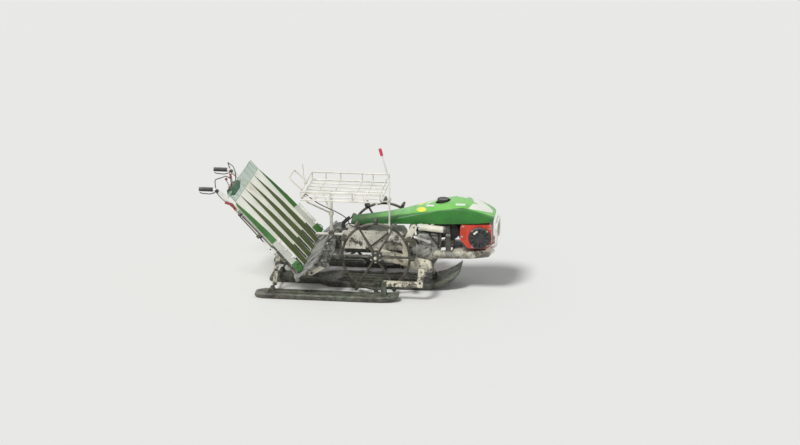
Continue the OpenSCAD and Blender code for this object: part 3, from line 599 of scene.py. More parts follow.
def points_mesh(name, places, aims):
    """Loose points, each with the direction that its copy faces."""
    mesh = bpy.data.meshes.new(name)
    mesh.from_pydata([tuple(p) for p in places], [], [])
    aim = mesh.attributes.new("aim", "FLOAT_VECTOR", "POINT")
    aim.data.foreach_set("vector", [c for a in aims for c in a])
    return mesh


SIDES = (("right", -1), ("left", 1))
print("sides", SIDES)

# %% [markdown]
# ## Bolts
# Screws hold the covers, cases and brackets. Each stands on the surface that it clamps: a ray from
# outside finds the place on the solid, so a bolt never floats or sinks. One tree draws a washer
# and a six-sided head at every point, turned to face out of the surface.

# %% Bolt tree
def bolt_tree(material):
    t = Tree("bolt_heads", {"Across": 0.013, "Head": 0.005, "Washer": 0.0015})
    radius, wide = t.times(t.size("Across"), 0.5), t.times(t.size("Across"), 0.78)
    head = t.geo("MeshCylinder", {"Vertices": 6, "Radius": radius, "Depth": t.size("Head")})
    washer = t.geo("MeshCylinder", {"Vertices": 14, "Radius": wide, "Depth": t.size("Washer")})
    up = t.add("ShaderNodeCombineXYZ", {2: t.times(t.size("Head"), 0.5)})
    lifted = t.geo("Transform", {"Geometry": head.outputs["Mesh"], "Translation": up.outputs[0]})
    both = t.geo("JoinGeometry")
    for solid in (washer.outputs["Mesh"], lifted.outputs[0]):
        t.group.links.new(solid, both.inputs[0])
    turn = t.add("FunctionNodeAlignRotationToVector", {"Vector": t.direction("aim")}, axis="Z")
    spin = t.add("FunctionNodeRandomValue", {"Seed": 7}, data_type="FLOAT")
    about = t.add("FunctionNodeAxisAngleToRotation",
                  {"Axis": (0.0, 0.0, 1.0), "Angle": spin.outputs[1]})
    spun = t.add("FunctionNodeRotateRotation", {0: turn.outputs[0], 1: about.outputs[0]},
                 rotation_space="LOCAL")
    return t.close(t.copies(t.given, both.outputs[0], Rotation=spun.outputs[0]), material)


def seat(node, outside, towards):
    """The point and outward normal where a ray from outside meets a CAD node."""
    start = Vector(outside)
    hit, place, normal, _ = nodes[node].ray_cast(start, (Vector(towards) - start).normalized())
    if not hit:
        print("no seat on", node, [round(c, 3) for c in outside])
        return None
    return place, normal


bolt_group = bolt_tree(FINISHES["steel"])
print("bolt tree with", len(bolt_group.nodes), "nodes")

# %% Put bolts on the CAD surfaces
OUTSIDE = 0.7


def bolts(name, body, spots, across, head):
    """spots: (node, outside point, point to aim at)."""
    found = [hit for hit in (seat(*spot) for spot in spots) if hit is not None]
    mesh = points_mesh(name, [place for place, _ in found], [normal for _, normal in found])
    link(name, grown_mesh(name, mesh, bolt_group, {"Across": across, "Head": head}), body)
    print(name, len(found), "bolts")


def side_spots(node, places, sides):
    """Spots on a face that looks sideways, from places in the side view."""
    return [(node, (x, s * OUTSIDE, z), (x, 0.0, z)) for x, z in places for s in sides]


def ring(centre, radius, count, start):
    return [(centre[0] + radius * math.cos(start + i * math.tau / count),
             centre[1] + radius * math.sin(start + i * math.tau / count)) for i in range(count)]


print("rays start", OUTSIDE, "m from the middle plane")

# %% Where the bolts are
BEAM = (-0.150, 0.378)
RIGHT, LEFT, BOTH = (-1,), (1,), (-1, 1)
BOLT_PLACES = {  # node: (sides, width across the flats, head's height, places in the side view)
    "gearbox": (BOTH, 0.013, 0.005, [
        (0.575, 0.28), (0.575, 0.40), (0.60, 0.465), (0.66, 0.468), (0.72, 0.462), (0.733, 0.40),
        (0.733, 0.31)]),
    "rear_case": (BOTH, 0.011, 0.004, [
        (0.13 + 0.09 * i, z) for z in (0.474, 0.342) for i in range(4)]),
    "front_frame": (BOTH, 0.015, 0.006, [
        (0.815, 0.335), (0.845, 0.335), (0.822, 0.50), (0.838, 0.50), (1.10, 0.345), (1.02, 0.33),
        (0.90, 0.326)]),
    "fan_housing": (RIGHT, 0.011, 0.004, [
        (1.035, 0.413), (1.172, 0.437), (1.178, 0.575), (0.957, 0.586), (0.948, 0.500)]),
    "recoil_cover": (RIGHT, 0.010, 0.004, ring(STARTER, 0.088, 4, math.pi / 4)),
    "belt_cover": (LEFT, 0.011, 0.004, [
        (0.69, 0.476), (0.69, 0.384), (0.80, 0.44), (0.90, 0.455), (1.0, 0.475), (1.096, 0.54),
        (1.096, 0.452)]),
    "handle_frame": (BOTH, 0.015, 0.006, [
        (-0.43, 0.163), (-0.30, 0.169), (-0.52, 0.27), (-0.623, 0.392), (-0.602, 0.19),
        (-0.585, 0.30), (-0.90, 0.678), (-0.86, 0.637)]),
    "planting_cases": (BOTH, 0.010, 0.004,
                       ring(CRANK, 0.034, 4, 0.4) + ring(BEAM, 0.033, 3, 0.9)),
    "engine": (LEFT, 0.012, 0.005, [(1.0, 0.40), (1.12, 0.41), (1.15, 0.55), (1.02, 0.57)]),
    "outriggers": (BOTH, 0.013, 0.005, [
        (0.626, 0.165), (0.637, 0.262), (0.42, 0.150), (0.54, 0.150)]),
}
PIECE_NAMES = {"recoil_cover": "recoil", "planting_cases": "cases"}
for node, (sides, across, head, places) in BOLT_PLACES.items():
    piece = "bolts_" + PIECE_NAMES.get(node, node)
    bolts(piece, "chassis", side_spots(node, places, sides), across, head)

# %% Bolts that swing and roll
CASE_SCREWS = [(0.36, 0.345), (0.50, 0.313), (0.36, 0.26), (0.50, 0.227)]
swing_rim = ring(PIVOT, 0.048, 5, 0.5) + ring(AXLE, 0.039, 5, 0.2) + CASE_SCREWS
hub_rim = ring(AXLE, 0.040, 6, math.pi / 6)
for side, s in SIDES:
    for part, body, node, rim in (("swing_", "swing_", "swing_case_", swing_rim),
                                  ("hub_", "wheel_", "rim_", hub_rim)):
        spots = side_spots(node + side, rim, (s,))
        bolts("bolts_" + part + side, body + side, spots, 0.012, 0.005)

# %% Screws along the tray's skirts
SKIRT_SCREWS = [0.10 + 0.085 * i for i in range(8)]
SKIRT_MIDDLE = -0.018
skirt_spots = [("tray_fences", on_tray(up, s * 0.8, SKIRT_MIDDLE), on_tray(up, 0.0, SKIRT_MIDDLE))
               for up in SKIRT_SCREWS for s in (-1, 1)]
bolts("screws_skirt", "tray", skirt_spots, 0.0065, 0.0022)

# %% [markdown]
# ## Bent rods and hoses
# Rods, hoses and leads are one round section carried along a bent route. A curve with a bevel
# makes them with few numbers, and its mesh is kept.

# %% Helper for rods and hoses
def rod_mesh(name, routes, radius, smooth):
    """One mesh of round rods, each carried along its own route of points."""
    curve = bpy.data.curves.new(name, "CURVE")
    curve.dimensions = "3D"
    curve.bevel_depth = radius
    curve.bevel_resolution = 3
    curve.use_fill_caps = True
    for route in routes:
        spline = curve.splines.new("NURBS" if smooth and len(route) > 2 else "POLY")
        spline.points.add(len(route) - 1)
        for point, place in zip(spline.points, route):
            point.co = (*place, 1.0)
        if spline.type == "NURBS":
            spline.order_u = 3
            spline.use_endpoint_u = True
            spline.resolution_u = 6
    draft = bpy.data.objects.new(name + "_draft", curve)
    scene.collection.objects.link(draft)
    graph = bpy.context.evaluated_depsgraph_get()
    mesh = bpy.data.meshes.new_from_object(draft.evaluated_get(graph), depsgraph=graph)
    bpy.data.objects.remove(draft)
    mesh.name = name
    mesh.shade_smooth()
    return mesh


def rods(name, body, routes, radius, finish_name="black_plastic", smooth=True):
    mesh = rod_mesh(name, routes, radius, smooth)
    mesh.materials.clear()
    mesh.materials.append(FINISHES[finish_name])
    link(name, mesh, body)


print("helper for rods ready")

# %% [markdown]
# ## The net behind the tray
# A pale green plastic net catches what slides off the tray's top edge. Its strands cross in two
# slanting families, so its cells are diamonds, and it bows a little between its corners. The
# strands are drawn as bare edges, and a tree gives every edge a round section. It replaces the
# plain lattice of the CAD.

# %% Net
CELL = 0.0165
NET_LOW, NET_HIGH = 0.800, 0.898
HEM_IN, HEM_UP = 0.001, 0.002


def bow(y, rise):
    """How far the net stands off the tray's plane: a wide bulge and small waves."""
    return 0.006 * math.sin(y * 9.0) * rise + 0.002 * math.sin(y * 47.0)


def net_edges(half, low, high, cell):
    """Two families of slanting edges over the net's area, and a row along its top and bottom."""
    across = round(2 * half / cell)
    along = round((high - low) / cell)
    grid = bmesh.new()
    rows = []
    for i in range(along + 1):
        rise = i / along
        places = [-half + 2 * half * j / across for j in range(across + 1)]
        rows.append([grid.verts.new(on_tray(low + (high - low) * rise, y, bow(y, rise) - 0.003))
                     for y in places])
    for i in range(along):
        for j in range(across):
            first, second = (j, j + 1) if (i + j) % 2 == 0 else (j + 1, j)
            grid.edges.new((rows[i][first], rows[i + 1][second]))
    for j in range(across):
        for row in (rows[-1], rows[0]):
            grid.edges.new((row[j], row[j + 1]))
    mesh = bpy.data.meshes.new("net")
    grid.to_mesh(mesh)
    grid.free()
    return mesh


def strand_tree(material):
    t = Tree("net_strands", {"Strand": 0.0015, "Sides": 5})
    lines = t.geo("MeshToCurve", {"Mesh": t.given})
    section = t.geo("CurvePrimitiveCircle",
                    {"Resolution": t.size("Sides"), "Radius": t.size("Strand")})
    strands = t.geo("CurveToMesh",
                    {"Curve": lines.outputs[0], "Profile Curve": section.outputs["Curve"]})
    return t.close(strands.outputs[0], material)


strands = strand_tree(FINISHES["net_green"])
net = link("net", grown_mesh("net", net_edges(HALF_TRAY, NET_LOW, NET_HIGH, CELL), strands), "tray")
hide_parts("tray_net")
hem = [on_tray(up, s * (HALF_TRAY - HEM_IN))
       for up, s in ((NET_LOW + HEM_UP, -1), (NET_HIGH, -1), (NET_HIGH, 1), (NET_LOW + HEM_UP, 1))]
rods("net_hem", "tray", [hem], 0.0022, "net_green", smooth=False)

# %% [markdown]
# ## The painted bonnet
# The bonnet is moulded in two greens: light on top and deep below a line that climbs to the widest
# place and drops to the nose. It carries a white patch on the nose, a yellow disc and two blank
# white plates. A point's height less a share of its distance from the middle plane follows that
# line on the curved shell, so the same few sums paint both sides.

# %% Drawing on the bonnet
class BonnetGraph(Graph):
    """A material with the shapes that are drawn on the bonnet, placed in its side view."""

    LEAN = 0.3128

    def __init__(self, name):
        super().__init__(name)
        self.x = self.axis("X")
        away = self.math("ABSOLUTE", self.axis("Y"))
        self.up = self.minus(self.axis("Z"), self.times(away, self.LEAN))

    def line(self, start, end):
        """Height of a straight line through two places, all along the bonnet."""
        slope = (end[1] - start[1]) / (end[0] - start[0])
        return self.plus(self.times(self.x, slope), start[1] - slope * start[0])

    def inside(self, *depths, soft=0.0016):
        """1 where every depth is above zero, with a soft edge."""
        least = depths[0]
        for depth in depths[1:]:
            least = self.math("MINIMUM", least, depth)
        return self.span(least, -soft, soft)

    def oval(self, centre, across, tall):
        a = self.math("DIVIDE", self.minus(self.x, centre[0]), across)
        b = self.math("DIVIDE", self.minus(self.up, centre[1]), tall)
        return self.span(self.plus(self.times(a, a), self.times(b, b)), 1.04, 0.96)

    def plate(self, x0, x1, z0, z1):
        return self.inside(self.minus(self.x, x0), self.minus(x1, self.x),
                           self.minus(self.up, z0), self.minus(z1, self.up), soft=0.0012)


# %% Bonnet paint
WIDEST = (0.95, 0.688)


def bonnet_paint():
    g = BonnetGraph("bonnet_paint")
    inputs = g.shader.inputs
    border = g.math("MINIMUM", g.line((0.33, 0.594), WIDEST), g.line(WIDEST, (1.19, 0.622)))
    above = g.minus(g.up, border)
    cloudy = g.span(g.noise(5.0, 5.0), 0.3, 0.7)
    light = g.mix(cloudy, rgb(84, 172, 60), rgb(114, 198, 82))
    deep = g.mix(cloudy, rgb(28, 92, 28), rgb(44, 122, 38))
    # painted shade: the green darkens towards the bonnet's tail, up to nine tenths of the way to a deep green
    tail = g.span(g.x, 0.42, 0.06, 0.0, 0.9)
    # painted shade: a thin dark line in the groove along the border between the greens, which the bump also dents
    groove = g.times(g.span(above, -0.006, 0.0), g.span(above, 0.004, 0.0))
    rear = g.minus(g.x, g.plus(g.times(g.up, 0.63), 0.564))
    low = g.minus(g.up, g.line((0.99, 0.684), (1.20, 0.652)))
    high = g.minus(g.line((0.98, 0.735), (1.20, 0.705)), g.up)
    nose = g.times(g.inside(rear, low, g.minus(1.186, g.x), soft=0.003), g.inside(high, soft=0.002))
    plates = g.most(g.plate(0.63, 0.70, 0.692, 0.706), g.plate(0.885, 0.965, 0.708, 0.724))
    grime = g.times(g.span(g.noise(16.0, 8.0, 0.75), 0.52, 0.66), g.span(g.x, 0.9, 0.1, 0.15, 0.75))
    dust = g.times(g.span(g.facing_up(), 0.3, 1.0),
                   g.span(g.noise(9.0, 7.0, 0.7), 0.45, 0.75, 0.0, 0.16))
    drops = g.times(g.span(g.noise(60.0, 2.0), 0.70, 0.73),
                    g.span(g.axis("Z"), 0.72, 0.60, 0.0, 0.8))
    scratch = g.span(g.noise(8.0, 9.0, 0.8, g.stretched((1.0, 9.0, 9.0))), 0.64, 0.66, 0.0, 0.2)
    # the tail's dark green mixed in here is painted shade
    paint = g.mix(tail, g.mix(g.inside(above), deep, light), rgb(26, 72, 28))
    # the groove's dark line, the first entry below, is painted shade
    for mask, color in ((g.times(groove, 0.45), rgb(34, 84, 32)),
                        (nose, rgb(238, 238, 230)),
                        (g.oval((0.598, 0.662), 0.042, 0.021), rgb(236, 230, 66)),
                        (plates, rgb(232, 234, 226)),
                        (grime, rgb(70, 84, 58)),
                        (dust, DUST),
                        (drops, MUD),
                        (scratch, rgb(168, 208, 150))):
        paint = g.mix(mask, paint, color)
    g.wire(paint, inputs["Base Color"])
    dull = g.most(g.most(grime, drops), tail)
    g.wire(g.blend(dull, g.span(g.noise(22.0), 0.3, 0.7, 0.26, 0.42), 0.75), inputs["Roughness"])
    ripple = g.bump(g.noise(30.0, 4.0), 0.0012, 0.35)
    g.wire(g.bump(groove, 0.004, -0.7, ripple), inputs["Normal"])
    inputs["Coat Weight"].default_value = 0.1
    inputs["Coat Roughness"].default_value = 0.3
    return g.material


FINISHES["bonnet_paint"] = bonnet_paint()
nodes["bonnet"].data.materials[0] = FINISHES["bonnet_paint"]
print("bonnet painted")

# %% [markdown]
# ## Mud on the running gear
# Wheels, floats and cases have worked in wet soil. Where mud lies thick it forms clods, which a
# finish alone can't show in outline. A tree scatters small rough lumps over copies of those
# surfaces, more of them low down, each turned to its surface and sized at random from a fixed seed.

# %% Clods
def clod_tree(material):
    sizes = {"Density": 900.0, "Smallest": 0.002, "Largest": 0.008, "Highest": 0.3, "Seed": 3}
    t = Tree("clods", sizes)
    height = t.part(t.reading("Position"), 2)
    low_down = t.ramp(height, t.size("Highest"), 0.0)
    patchy = t.ramp(t.noise(9.0, 3.0), 0.45, 0.65)
    open_side = t.math("GREATER_THAN", t.part(t.reading("Normal"), 2), -0.5)
    density = t.times(t.times(t.times(low_down, patchy), open_side), t.size("Density"))
    spots = t.geo("DistributePointsOnFaces",
                  {"Mesh": t.given, "Density": density, "Seed": t.size("Seed")})
    at_floor = t.math("LESS_THAN", height, t.times(t.size("Largest"), 2.0))
    kept = t.geo("DeleteGeometry",
                 {"Geometry": spots.outputs["Points"], "Selection": at_floor}, domain="POINT")
    ball = t.geo("MeshIcoSphere", {"Radius": 1.0, "Subdivisions": 2})
    lump = t.pushed_out(ball.outputs["Mesh"], t.noise(1.3, 2.0))
    size = t.chance(t.size("Smallest"), t.size("Largest"))
    flat = t.add("ShaderNodeCombineXYZ", {0: size, 1: size, 2: t.times(size, 0.45)})
    turn = spots.outputs["Rotation"]
    return t.close(t.copies(kept.outputs[0], lump, Rotation=turn, Scale=flat.outputs[0]), material)


def wet_mud():
    g = Graph("wet_mud")
    inputs = g.shader.inputs
    g.wire(g.mix(g.noise(40.0, 4.0), rgb(36, 35, 30), rgb(88, 86, 74)), inputs["Base Color"])
    g.wire(g.span(g.noise(15.0), 0.4, 0.6, 0.28, 0.75), inputs["Roughness"])
    g.wire(g.bump(g.noise(180.0, 3.0), 0.001, 0.8), inputs["Normal"])
    return g.material


FINISHES["wet_mud"] = wet_mud()
clod_group = clod_tree(FINISHES["wet_mud"])


def clods(name, node, body, density, largest, highest, seed):
    """Clods on a copy of a node's surface: so many a square metre, up to a size and a height."""
    sizes = {"Density": float(density), "Largest": largest, "Highest": highest, "Seed": seed}
    link(name, grown_mesh(name, nodes[node].data.copy(), clod_group, sizes), body)


print("clod tree with", len(clod_group.nodes), "nodes")

# %% Put clods on the surfaces
clods("mud_side_floats", "side_floats", "chassis", 1600, 0.007, 0.10, 11)
clods("mud_middle_float", "middle_float", "chassis", 1400, 0.008, 0.16, 12)
clods("mud_outriggers", "outriggers", "chassis", 5200, 0.005, 0.30, 13)
clods("mud_planting_cases", "planting_cases", "chassis", 2600, 0.005, 0.36, 14)
clods("mud_gearbox", "gearbox", "chassis", 900, 0.006, 0.42, 15)
clods("mud_front_frame", "front_frame", "chassis", 1500, 0.006, 0.38, 16)
clods("mud_arms", "planting_arms", "arms", 5200, 0.004, 0.36, 17)
for i, (side, _) in enumerate(SIDES):
    clods("mud_rim_" + side, "rim_" + side, "wheel_" + side, 6500, 0.005, 0.66, 20 + i)
    clods("mud_lugs_" + side, "lugs_" + side, "wheel_" + side, 5200, 0.006, 0.66, 30 + i)
    clods("mud_swing_" + side, "swing_case_" + side, "swing_" + side, 1500, 0.006, 0.42, 40 + i)

# %% [markdown]
# ## Small solids
# Brackets, clips, rollers and plates are boxes, discs and short tubes. A small class gathers such
# solids into one mesh, each with its own place, turn and rounded edges, so a whole set is one
# piece.

# %% Helper for small solids
def tilted(degrees):
    """A turn in the side view: above zero, the front goes down."""
    return Matrix.Rotation(math.radians(degrees), 3, "Y")


class Shape:
    """One mesh gathered from simple solids."""

    FORWARD, SIDEWAYS = (1.0, 0.0, 0.0), (0.0, 1.0, 0.0)

    def __init__(self):
        self.mesh = bmesh.new()

    def put(self, made, place, turn=Matrix.Identity(3), size=(1.0, 1.0, 1.0), bevel=0.0):
        at = Matrix.Translation(Vector(place)) @ turn.to_4x4() @ Matrix.Diagonal((*size, 1.0))
        bmesh.ops.transform(self.mesh, matrix=at, verts=made)
        if bevel:
            inside = set(made)
            edges = [e for e in self.mesh.edges if e.verts[0] in inside and e.verts[1] in inside
                     and len(e.link_faces) == 2 and e.calc_face_angle(0.0) > 0.6]
            bmesh.ops.bevel(self.mesh, geom=edges, offset=bevel, segments=2, affect="EDGES",
                            profile=0.6)

    def box(self, size, place, turn=Matrix.Identity(3), bevel=0.0015):
        made = bmesh.ops.create_cube(self.mesh, size=1.0)["verts"]
        self.put(made, place, turn, size, bevel)

    def disc(self, radius, depth, place, aim=SIDEWAYS, sides=28, bevel=0.001):
        made = bmesh.ops.create_cone(self.mesh, cap_ends=True, segments=sides, radius1=radius,
                                     radius2=radius, depth=depth)["verts"]
        turn = Vector(aim).normalized().to_track_quat("Z", "Y").to_matrix()
        self.put(made, place, turn, bevel=bevel)

    def bar(self, start, end, radius, sides=12):
        a, b = Vector(start), Vector(end)
        self.disc(radius, (b - a).length, (a + b) / 2, b - a, sides, bevel=0.0)

    def ball(self, radius, place):
        made = bmesh.ops.create_icosphere(self.mesh, subdivisions=2, radius=radius)["verts"]
        self.put(made, place)

    def chain(self, places, radius, sides, knuckle=0.0):
        """Bars from place to place, with a ball at each end of a bar where a knuckle is given."""
        for a, b in zip(places, places[1:]):
            self.bar(a, b, radius, sides)
            if knuckle:
                self.ball(knuckle, b)

    def done(self, name, body, finish_name):
        bmesh.ops.recalc_face_normals(self.mesh, faces=self.mesh.faces)
        mesh = bpy.data.meshes.new(name)
        self.mesh.to_mesh(mesh)
        self.mesh.free()
        mesh.shade_smooth()
        mesh.set_sharp_from_angle(angle=math.radians(35))
        mesh.materials.append(FINISHES[finish_name])
        link(name, mesh, body)


print("helper for small solids ready")

# %% [markdown]
# ## Fittings of the tray
# Along the lower end of each side stands a green block that closes the outer lane, and a white
# strip follows the fence above it. Under each side edge runs a black rod with a white roller and
# three clamps. They could be modelled upright and turned as a group, but an object that carries
# its own turn would not export in its place, so every box is made along the tray's own directions.

# %% Tray fittings
ROD_SIDE, ROD_OFF = 0.478, -0.066
CLIP = [(0.035, 0.531, 0.052), (0.050, 0.533, 0.062), (0.075, 0.533, 0.062), (0.085, 0.533, 0.045),
        (0.075, 0.533, 0.030)]
for side, s in SIDES:
    rod_y = s * ROD_SIDE
    blocks = Shape()
    blocks.box((0.082, 0.022, 0.062), on_tray(0.064, s * 0.517, 0.026), TRAY_TURN, 0.005)
    blocks.box((0.030, 0.016, 0.030), on_tray(0.46, rod_y, ROD_OFF), TRAY_TURN, 0.003)
    blocks.done("tray_blocks_" + side, "tray", "fence_green")
    strip = Shape()
    strip.box((0.215, 0.012, 0.018), on_tray(0.235, s * 0.503, 0.060), TRAY_TURN, 0.002)
    for up in (0.15, 0.235, 0.32):
        strip.box((0.014, 0.005, 0.030), on_tray(up, s * 0.5095, 0.049), TRAY_TURN, 0.001)
    strip.bar(on_tray(0.32, rod_y, ROD_OFF), on_tray(0.40, rod_y, ROD_OFF), 0.0085, 20)
    strip.box((0.042, 0.020, 0.038), on_tray(0.285, rod_y, ROD_OFF + 0.010), TRAY_TURN, 0.003)
    strip.done("tray_strips_" + side, "tray", "white_paint")
    under = Shape()
    under.bar(on_tray(0.25, rod_y, ROD_OFF), on_tray(0.71, rod_y, ROD_OFF), 0.0048)
    for up in (0.27, 0.44, 0.69):
        under.box((0.016, 0.006, 0.060), on_tray(up, rod_y, ROD_OFF + 0.028), TRAY_TURN, 0.001)
    under.chain([on_tray(up, s * y, off) for up, y, off in CLIP], 0.003, 8)
    under.done("tray_rods_" + side, "tray", "black_plastic")
    foot = Shape()
    foot.box((0.036, 0.006, 0.060), (-0.385, s * 0.545, 0.198), tilted(-18), 0.002)
    foot.box((0.036, 0.034, 0.006), (-0.374, s * 0.530, 0.224), tilted(-42), 0.002)
    foot.done("rail_foot_" + side, "chassis", "grey_casting")

# %% [markdown]
# ## Round the gearbox and the bonnet's tail
# Between the rear case and the engine lie the shift lever with its pivots, black stays and the
# lift's hoses. A strap and two cables stand at the bonnet's tail, and the longer cable climbs to
# the rack's rear rail. A hose that is held at both ends needs no simulation: a few places along
# its way and a smooth curve give its sag.

# %% Lever and stays
lever = Shape()
lever.box((0.150, 0.005, 0.020), (0.607, -0.132, 0.441), tilted(16), 0.002)
lever.disc(0.017, 0.024, (0.668, -0.120, 0.423))
lever.disc(0.010, 0.014, (0.548, -0.130, 0.458))
lever.done("shift_lever", "chassis", "white_paint")
stays = Shape()
STAY_TOP, STAY_FRONT = (0.670, -0.124, 0.480), (0.745, -0.124, 0.470)
for a, b in ((STAY_TOP, STAY_FRONT), (STAY_FRONT, (0.745, -0.124, 0.372)),
             (STAY_TOP, (0.752, -0.124, 0.372)), ((0.140, -0.114, 0.330), (0.3175, -0.114, 0.480))):
    stays.bar(a, b, 0.0055)
for place in ((0.670, -0.114, 0.480), (0.745, -0.114, 0.470), (0.745, -0.118, 0.372),
              (0.140, -0.109, 0.334), (0.3175, -0.109, 0.478)):
    stays.disc(0.010, 0.018, place, sides=16)
stays.done("stay_rods", "chassis", "black_plastic")

# %% Hoses and the tail's cables
rods("lift_hoses", "chassis", [[
    (0.640, s * 0.05, 0.478), (0.650, s * 0.06, 0.530), (0.700, s * 0.10, 0.560),
    (0.770, s * 0.145, 0.585), (0.823, s * 0.160, 0.572), (0.830, s * 0.150, 0.540)]
    for s in (-1, 1)], 0.0065)
rods("case_hose", "chassis", [[
    (0.440, -0.108, 0.455), (0.475, -0.118, 0.475), (0.520, -0.128, 0.470),
    (0.560, -0.128, 0.430), (0.575, -0.112, 0.395)]], 0.0075)
rods("fuel_hose", "chassis", [[
    (0.800, -0.095, 0.612), (0.815, -0.105, 0.596), (0.850, -0.100, 0.592),
    (0.890, -0.060, 0.600), (0.930, -0.010, 0.585)]], 0.004)
rods("tail_cable", "chassis", [
    [(-0.386, -0.285, 0.789), (-0.386, -0.120, 0.787), (-0.380, -0.060, 0.780),
     (-0.330, -0.050, 0.728), (-0.254, -0.042, 0.680), (-0.120, -0.036, 0.622),
     (-0.030, -0.032, 0.565), (-0.020, -0.030, 0.510), (0.020, -0.030, 0.497),
     (0.060, -0.030, 0.489)],
    [(-0.060, 0.020, 0.487), (-0.045, 0.020, 0.510), (0.010, 0.022, 0.507), (0.080, 0.026, 0.492)]],
    0.0042)

# %% Strap at the bonnet's tail
STRAP_Y = -0.075
STRAP_LINE = [(-0.050, 0.488), (-0.066, 0.512), (-0.060, 0.545), (-0.034, 0.572), (-0.008, 0.592)]
strap = Shape()
strap_places = [Vector((x, STRAP_Y, z)) for x, z in STRAP_LINE]
for a, b in zip(strap_places, strap_places[1:]):
    turn = (b - a).to_track_quat("Z", "Y").to_matrix()
    strap.box((0.007, 0.032, (b - a).length + 0.006), (a + b) / 2, turn, 0.002)
strap.box((0.040, 0.044, 0.012), (-0.046, STRAP_Y, 0.490), bevel=0.003)
strap.done("tail_strap", "chassis", "black_plastic")

# %% [markdown]
# ## Engine details
# The starter's cord, the spark plug with its lead, the muffler's end plate with louvres and its
# outlet, the oil filler and a row of ribs on the housing. They are small, yet they tell an engine
# from a block, so each is built of a few discs and bars that stand on the solid behind it.

# %% Starter's cord, muffler and oil filler
CORD_LINE = [(-0.030, -0.229, 0.057), (-0.014, -0.2345, 0.030), (0.006, -0.2345, 0.004)]
cord = [(STARTER[0] + x, y, STARTER[1] + z) for x, y, z in CORD_LINE]
rods("starter_cord", "chassis", [cord], 0.0028)
muffler = Shape()
muffler.disc(0.050, 0.006, (0.852, -0.148, 0.520), sides=36, bevel=0.002)
for k in range(4):
    muffler.box((0.056, 0.006, 0.006), (0.852, -0.151, 0.545 - 0.0165 * k), bevel=0.002)
muffler.bar((0.822, -0.110, 0.470), (0.806, -0.128, 0.444), 0.012, 18)
muffler.done("muffler_plate", "chassis", "hot_metal")
FILLER_AIM = (0.5, 0.0, 1.0)
filler = Shape()
filler.disc(0.016, 0.020, (1.150, 0.060, 0.404), FILLER_AIM, 20)
filler.disc(0.021, 0.010, (1.156, 0.060, 0.416), FILLER_AIM, 12)
filler.done("oil_filler", "chassis", "black_plastic")

# %% Spark plug, its lead and the housing's ribs
plug = Shape()
plug.disc(0.009, 0.030, (0.888, 0.045, 0.490), Shape.FORWARD, 16)
plug.disc(0.013, 0.010, (0.898, 0.045, 0.490), Shape.FORWARD, 6)
plug.done("spark_plug", "chassis", "lane_white")
rods("plug_lead", "chassis", [[
    (0.874, 0.045, 0.490), (0.850, 0.045, 0.500), (0.842, 0.040, 0.560),
    (0.890, 0.0, 0.606), (0.960, -0.070, 0.596), (0.990, -0.110, 0.590)]], 0.0038)
ribs = Shape()
for k in range(5):
    ribs.box((0.048, 0.004, 0.0045), (1.165, -0.1975, 0.462 + 0.020 * k))
ribs.done("housing_ribs", "chassis", "orange_paint")

# %% [markdown]
# ## Handles
# Raised rings on the grips, a squeeze lever under each, and three small levers on the console.
# Bump could draw the rings, but it leaves the outline smooth, so they are real discs. The squeeze
# levers are chains of bars with a ball at every bend.

# %% Grips and squeeze levers
GRIP_Y, GRIP_Z = 0.300, middle_of("grips").z
SQUEEZE_LINE = [(-1.085, 0.856), (-1.112, 0.834), (-1.150, 0.822), (-1.215, 0.826), (-1.232, 0.832)]
grips, squeeze = Shape(), Shape()
for s in (-1, 1):
    y = s * GRIP_Y
    for k in range(11):
        middle = (-1.2335 + 0.0100 * k, y, GRIP_Z)
        grips.disc(0.0186, 0.0042, middle, Shape.FORWARD, 24, bevel=0.0012)
    squeeze.chain([(x, y, z) for x, z in SQUEEZE_LINE], 0.0042, 10, knuckle=0.0043)
    squeeze.box((0.030, 0.030, 0.022), (-1.088, y, 0.852), tilted(26), 0.004)
grips.done("grip_rings", "chassis", "black_plastic")
squeeze.done("squeeze_levers", "chassis", "black_plastic")

# %% Console levers
LEVERS = ((-0.070, -0.020), (0.0, 0.004), (0.070, -0.012))  # place across, lean to the rear
levers, knobs = Shape(), Shape()
for y, lean in LEVERS:
    levers.bar((-1.030, y, 0.822), (-1.036 + lean, y, 0.880), 0.0042, 10)
    knobs.ball(0.0125, (-1.037 + lean, y, 0.888))
    knobs.box((0.050, 0.020, 0.004), (-1.020, y, 0.826), tilted(-20), 0.001)
levers.done("console_levers", "chassis", "steel")
knobs.done("console_knobs", "chassis", "lever_red")

# %% [markdown]
# ## Ribs on floats and lugs, and the tray's feed belts
# Moulded ribs stiffen the floats. Each lug has two raised bars that bite into the soil, and each
# lane ends in a short ribbed belt that feeds it. An Array modifier would make such rows too; a
# loop is used because it keeps each row's start and step in sight.

# %% Float ribs
SIDE_FLOAT = 0.45
float_ribs = Shape()
for s in (-1, 1):
    y = s * SIDE_FLOAT
    for off in (-0.036, 0.036):
        float_ribs.box((0.86, 0.010, 0.010), (-0.215, y + off, 0.0485), bevel=0.003)
    for k in range(6):
        float_ribs.box((0.010, 0.070, 0.008), (-0.60 + 0.15 * k, y, 0.0475), bevel=0.002)
for y in (-0.105, -0.035, 0.035, 0.105):
    float_ribs.box((0.62, 0.010, 0.010), (0.225, y, 0.0485), bevel=0.003)
float_ribs.done("float_ribs", "chassis", "float_grey")

# %% Bars on the lugs
LUGS = 12
for side, s in SIDES:
    bars = Shape()
    for k in range(LUGS):
        angle = -math.pi / 2 + k * math.tau / LUGS
        out_x, out_z = math.cos(angle), math.sin(angle)
        turn = Matrix.Rotation(-angle, 3, "Y")
        for radius, half in ((0.3035, 0.0125), (0.3165, 0.0105)):
            for off in (-half, half):
                place = (AXLE[0] + radius * out_x - off * out_z, s * HUB.y,
                         AXLE[1] + radius * out_z + off * out_x)
                bars.box((0.005, 0.100, 0.004), place, turn, 0.001)
    bars.done("lug_bars_" + side, "wheel_" + side, "lug_rubber")

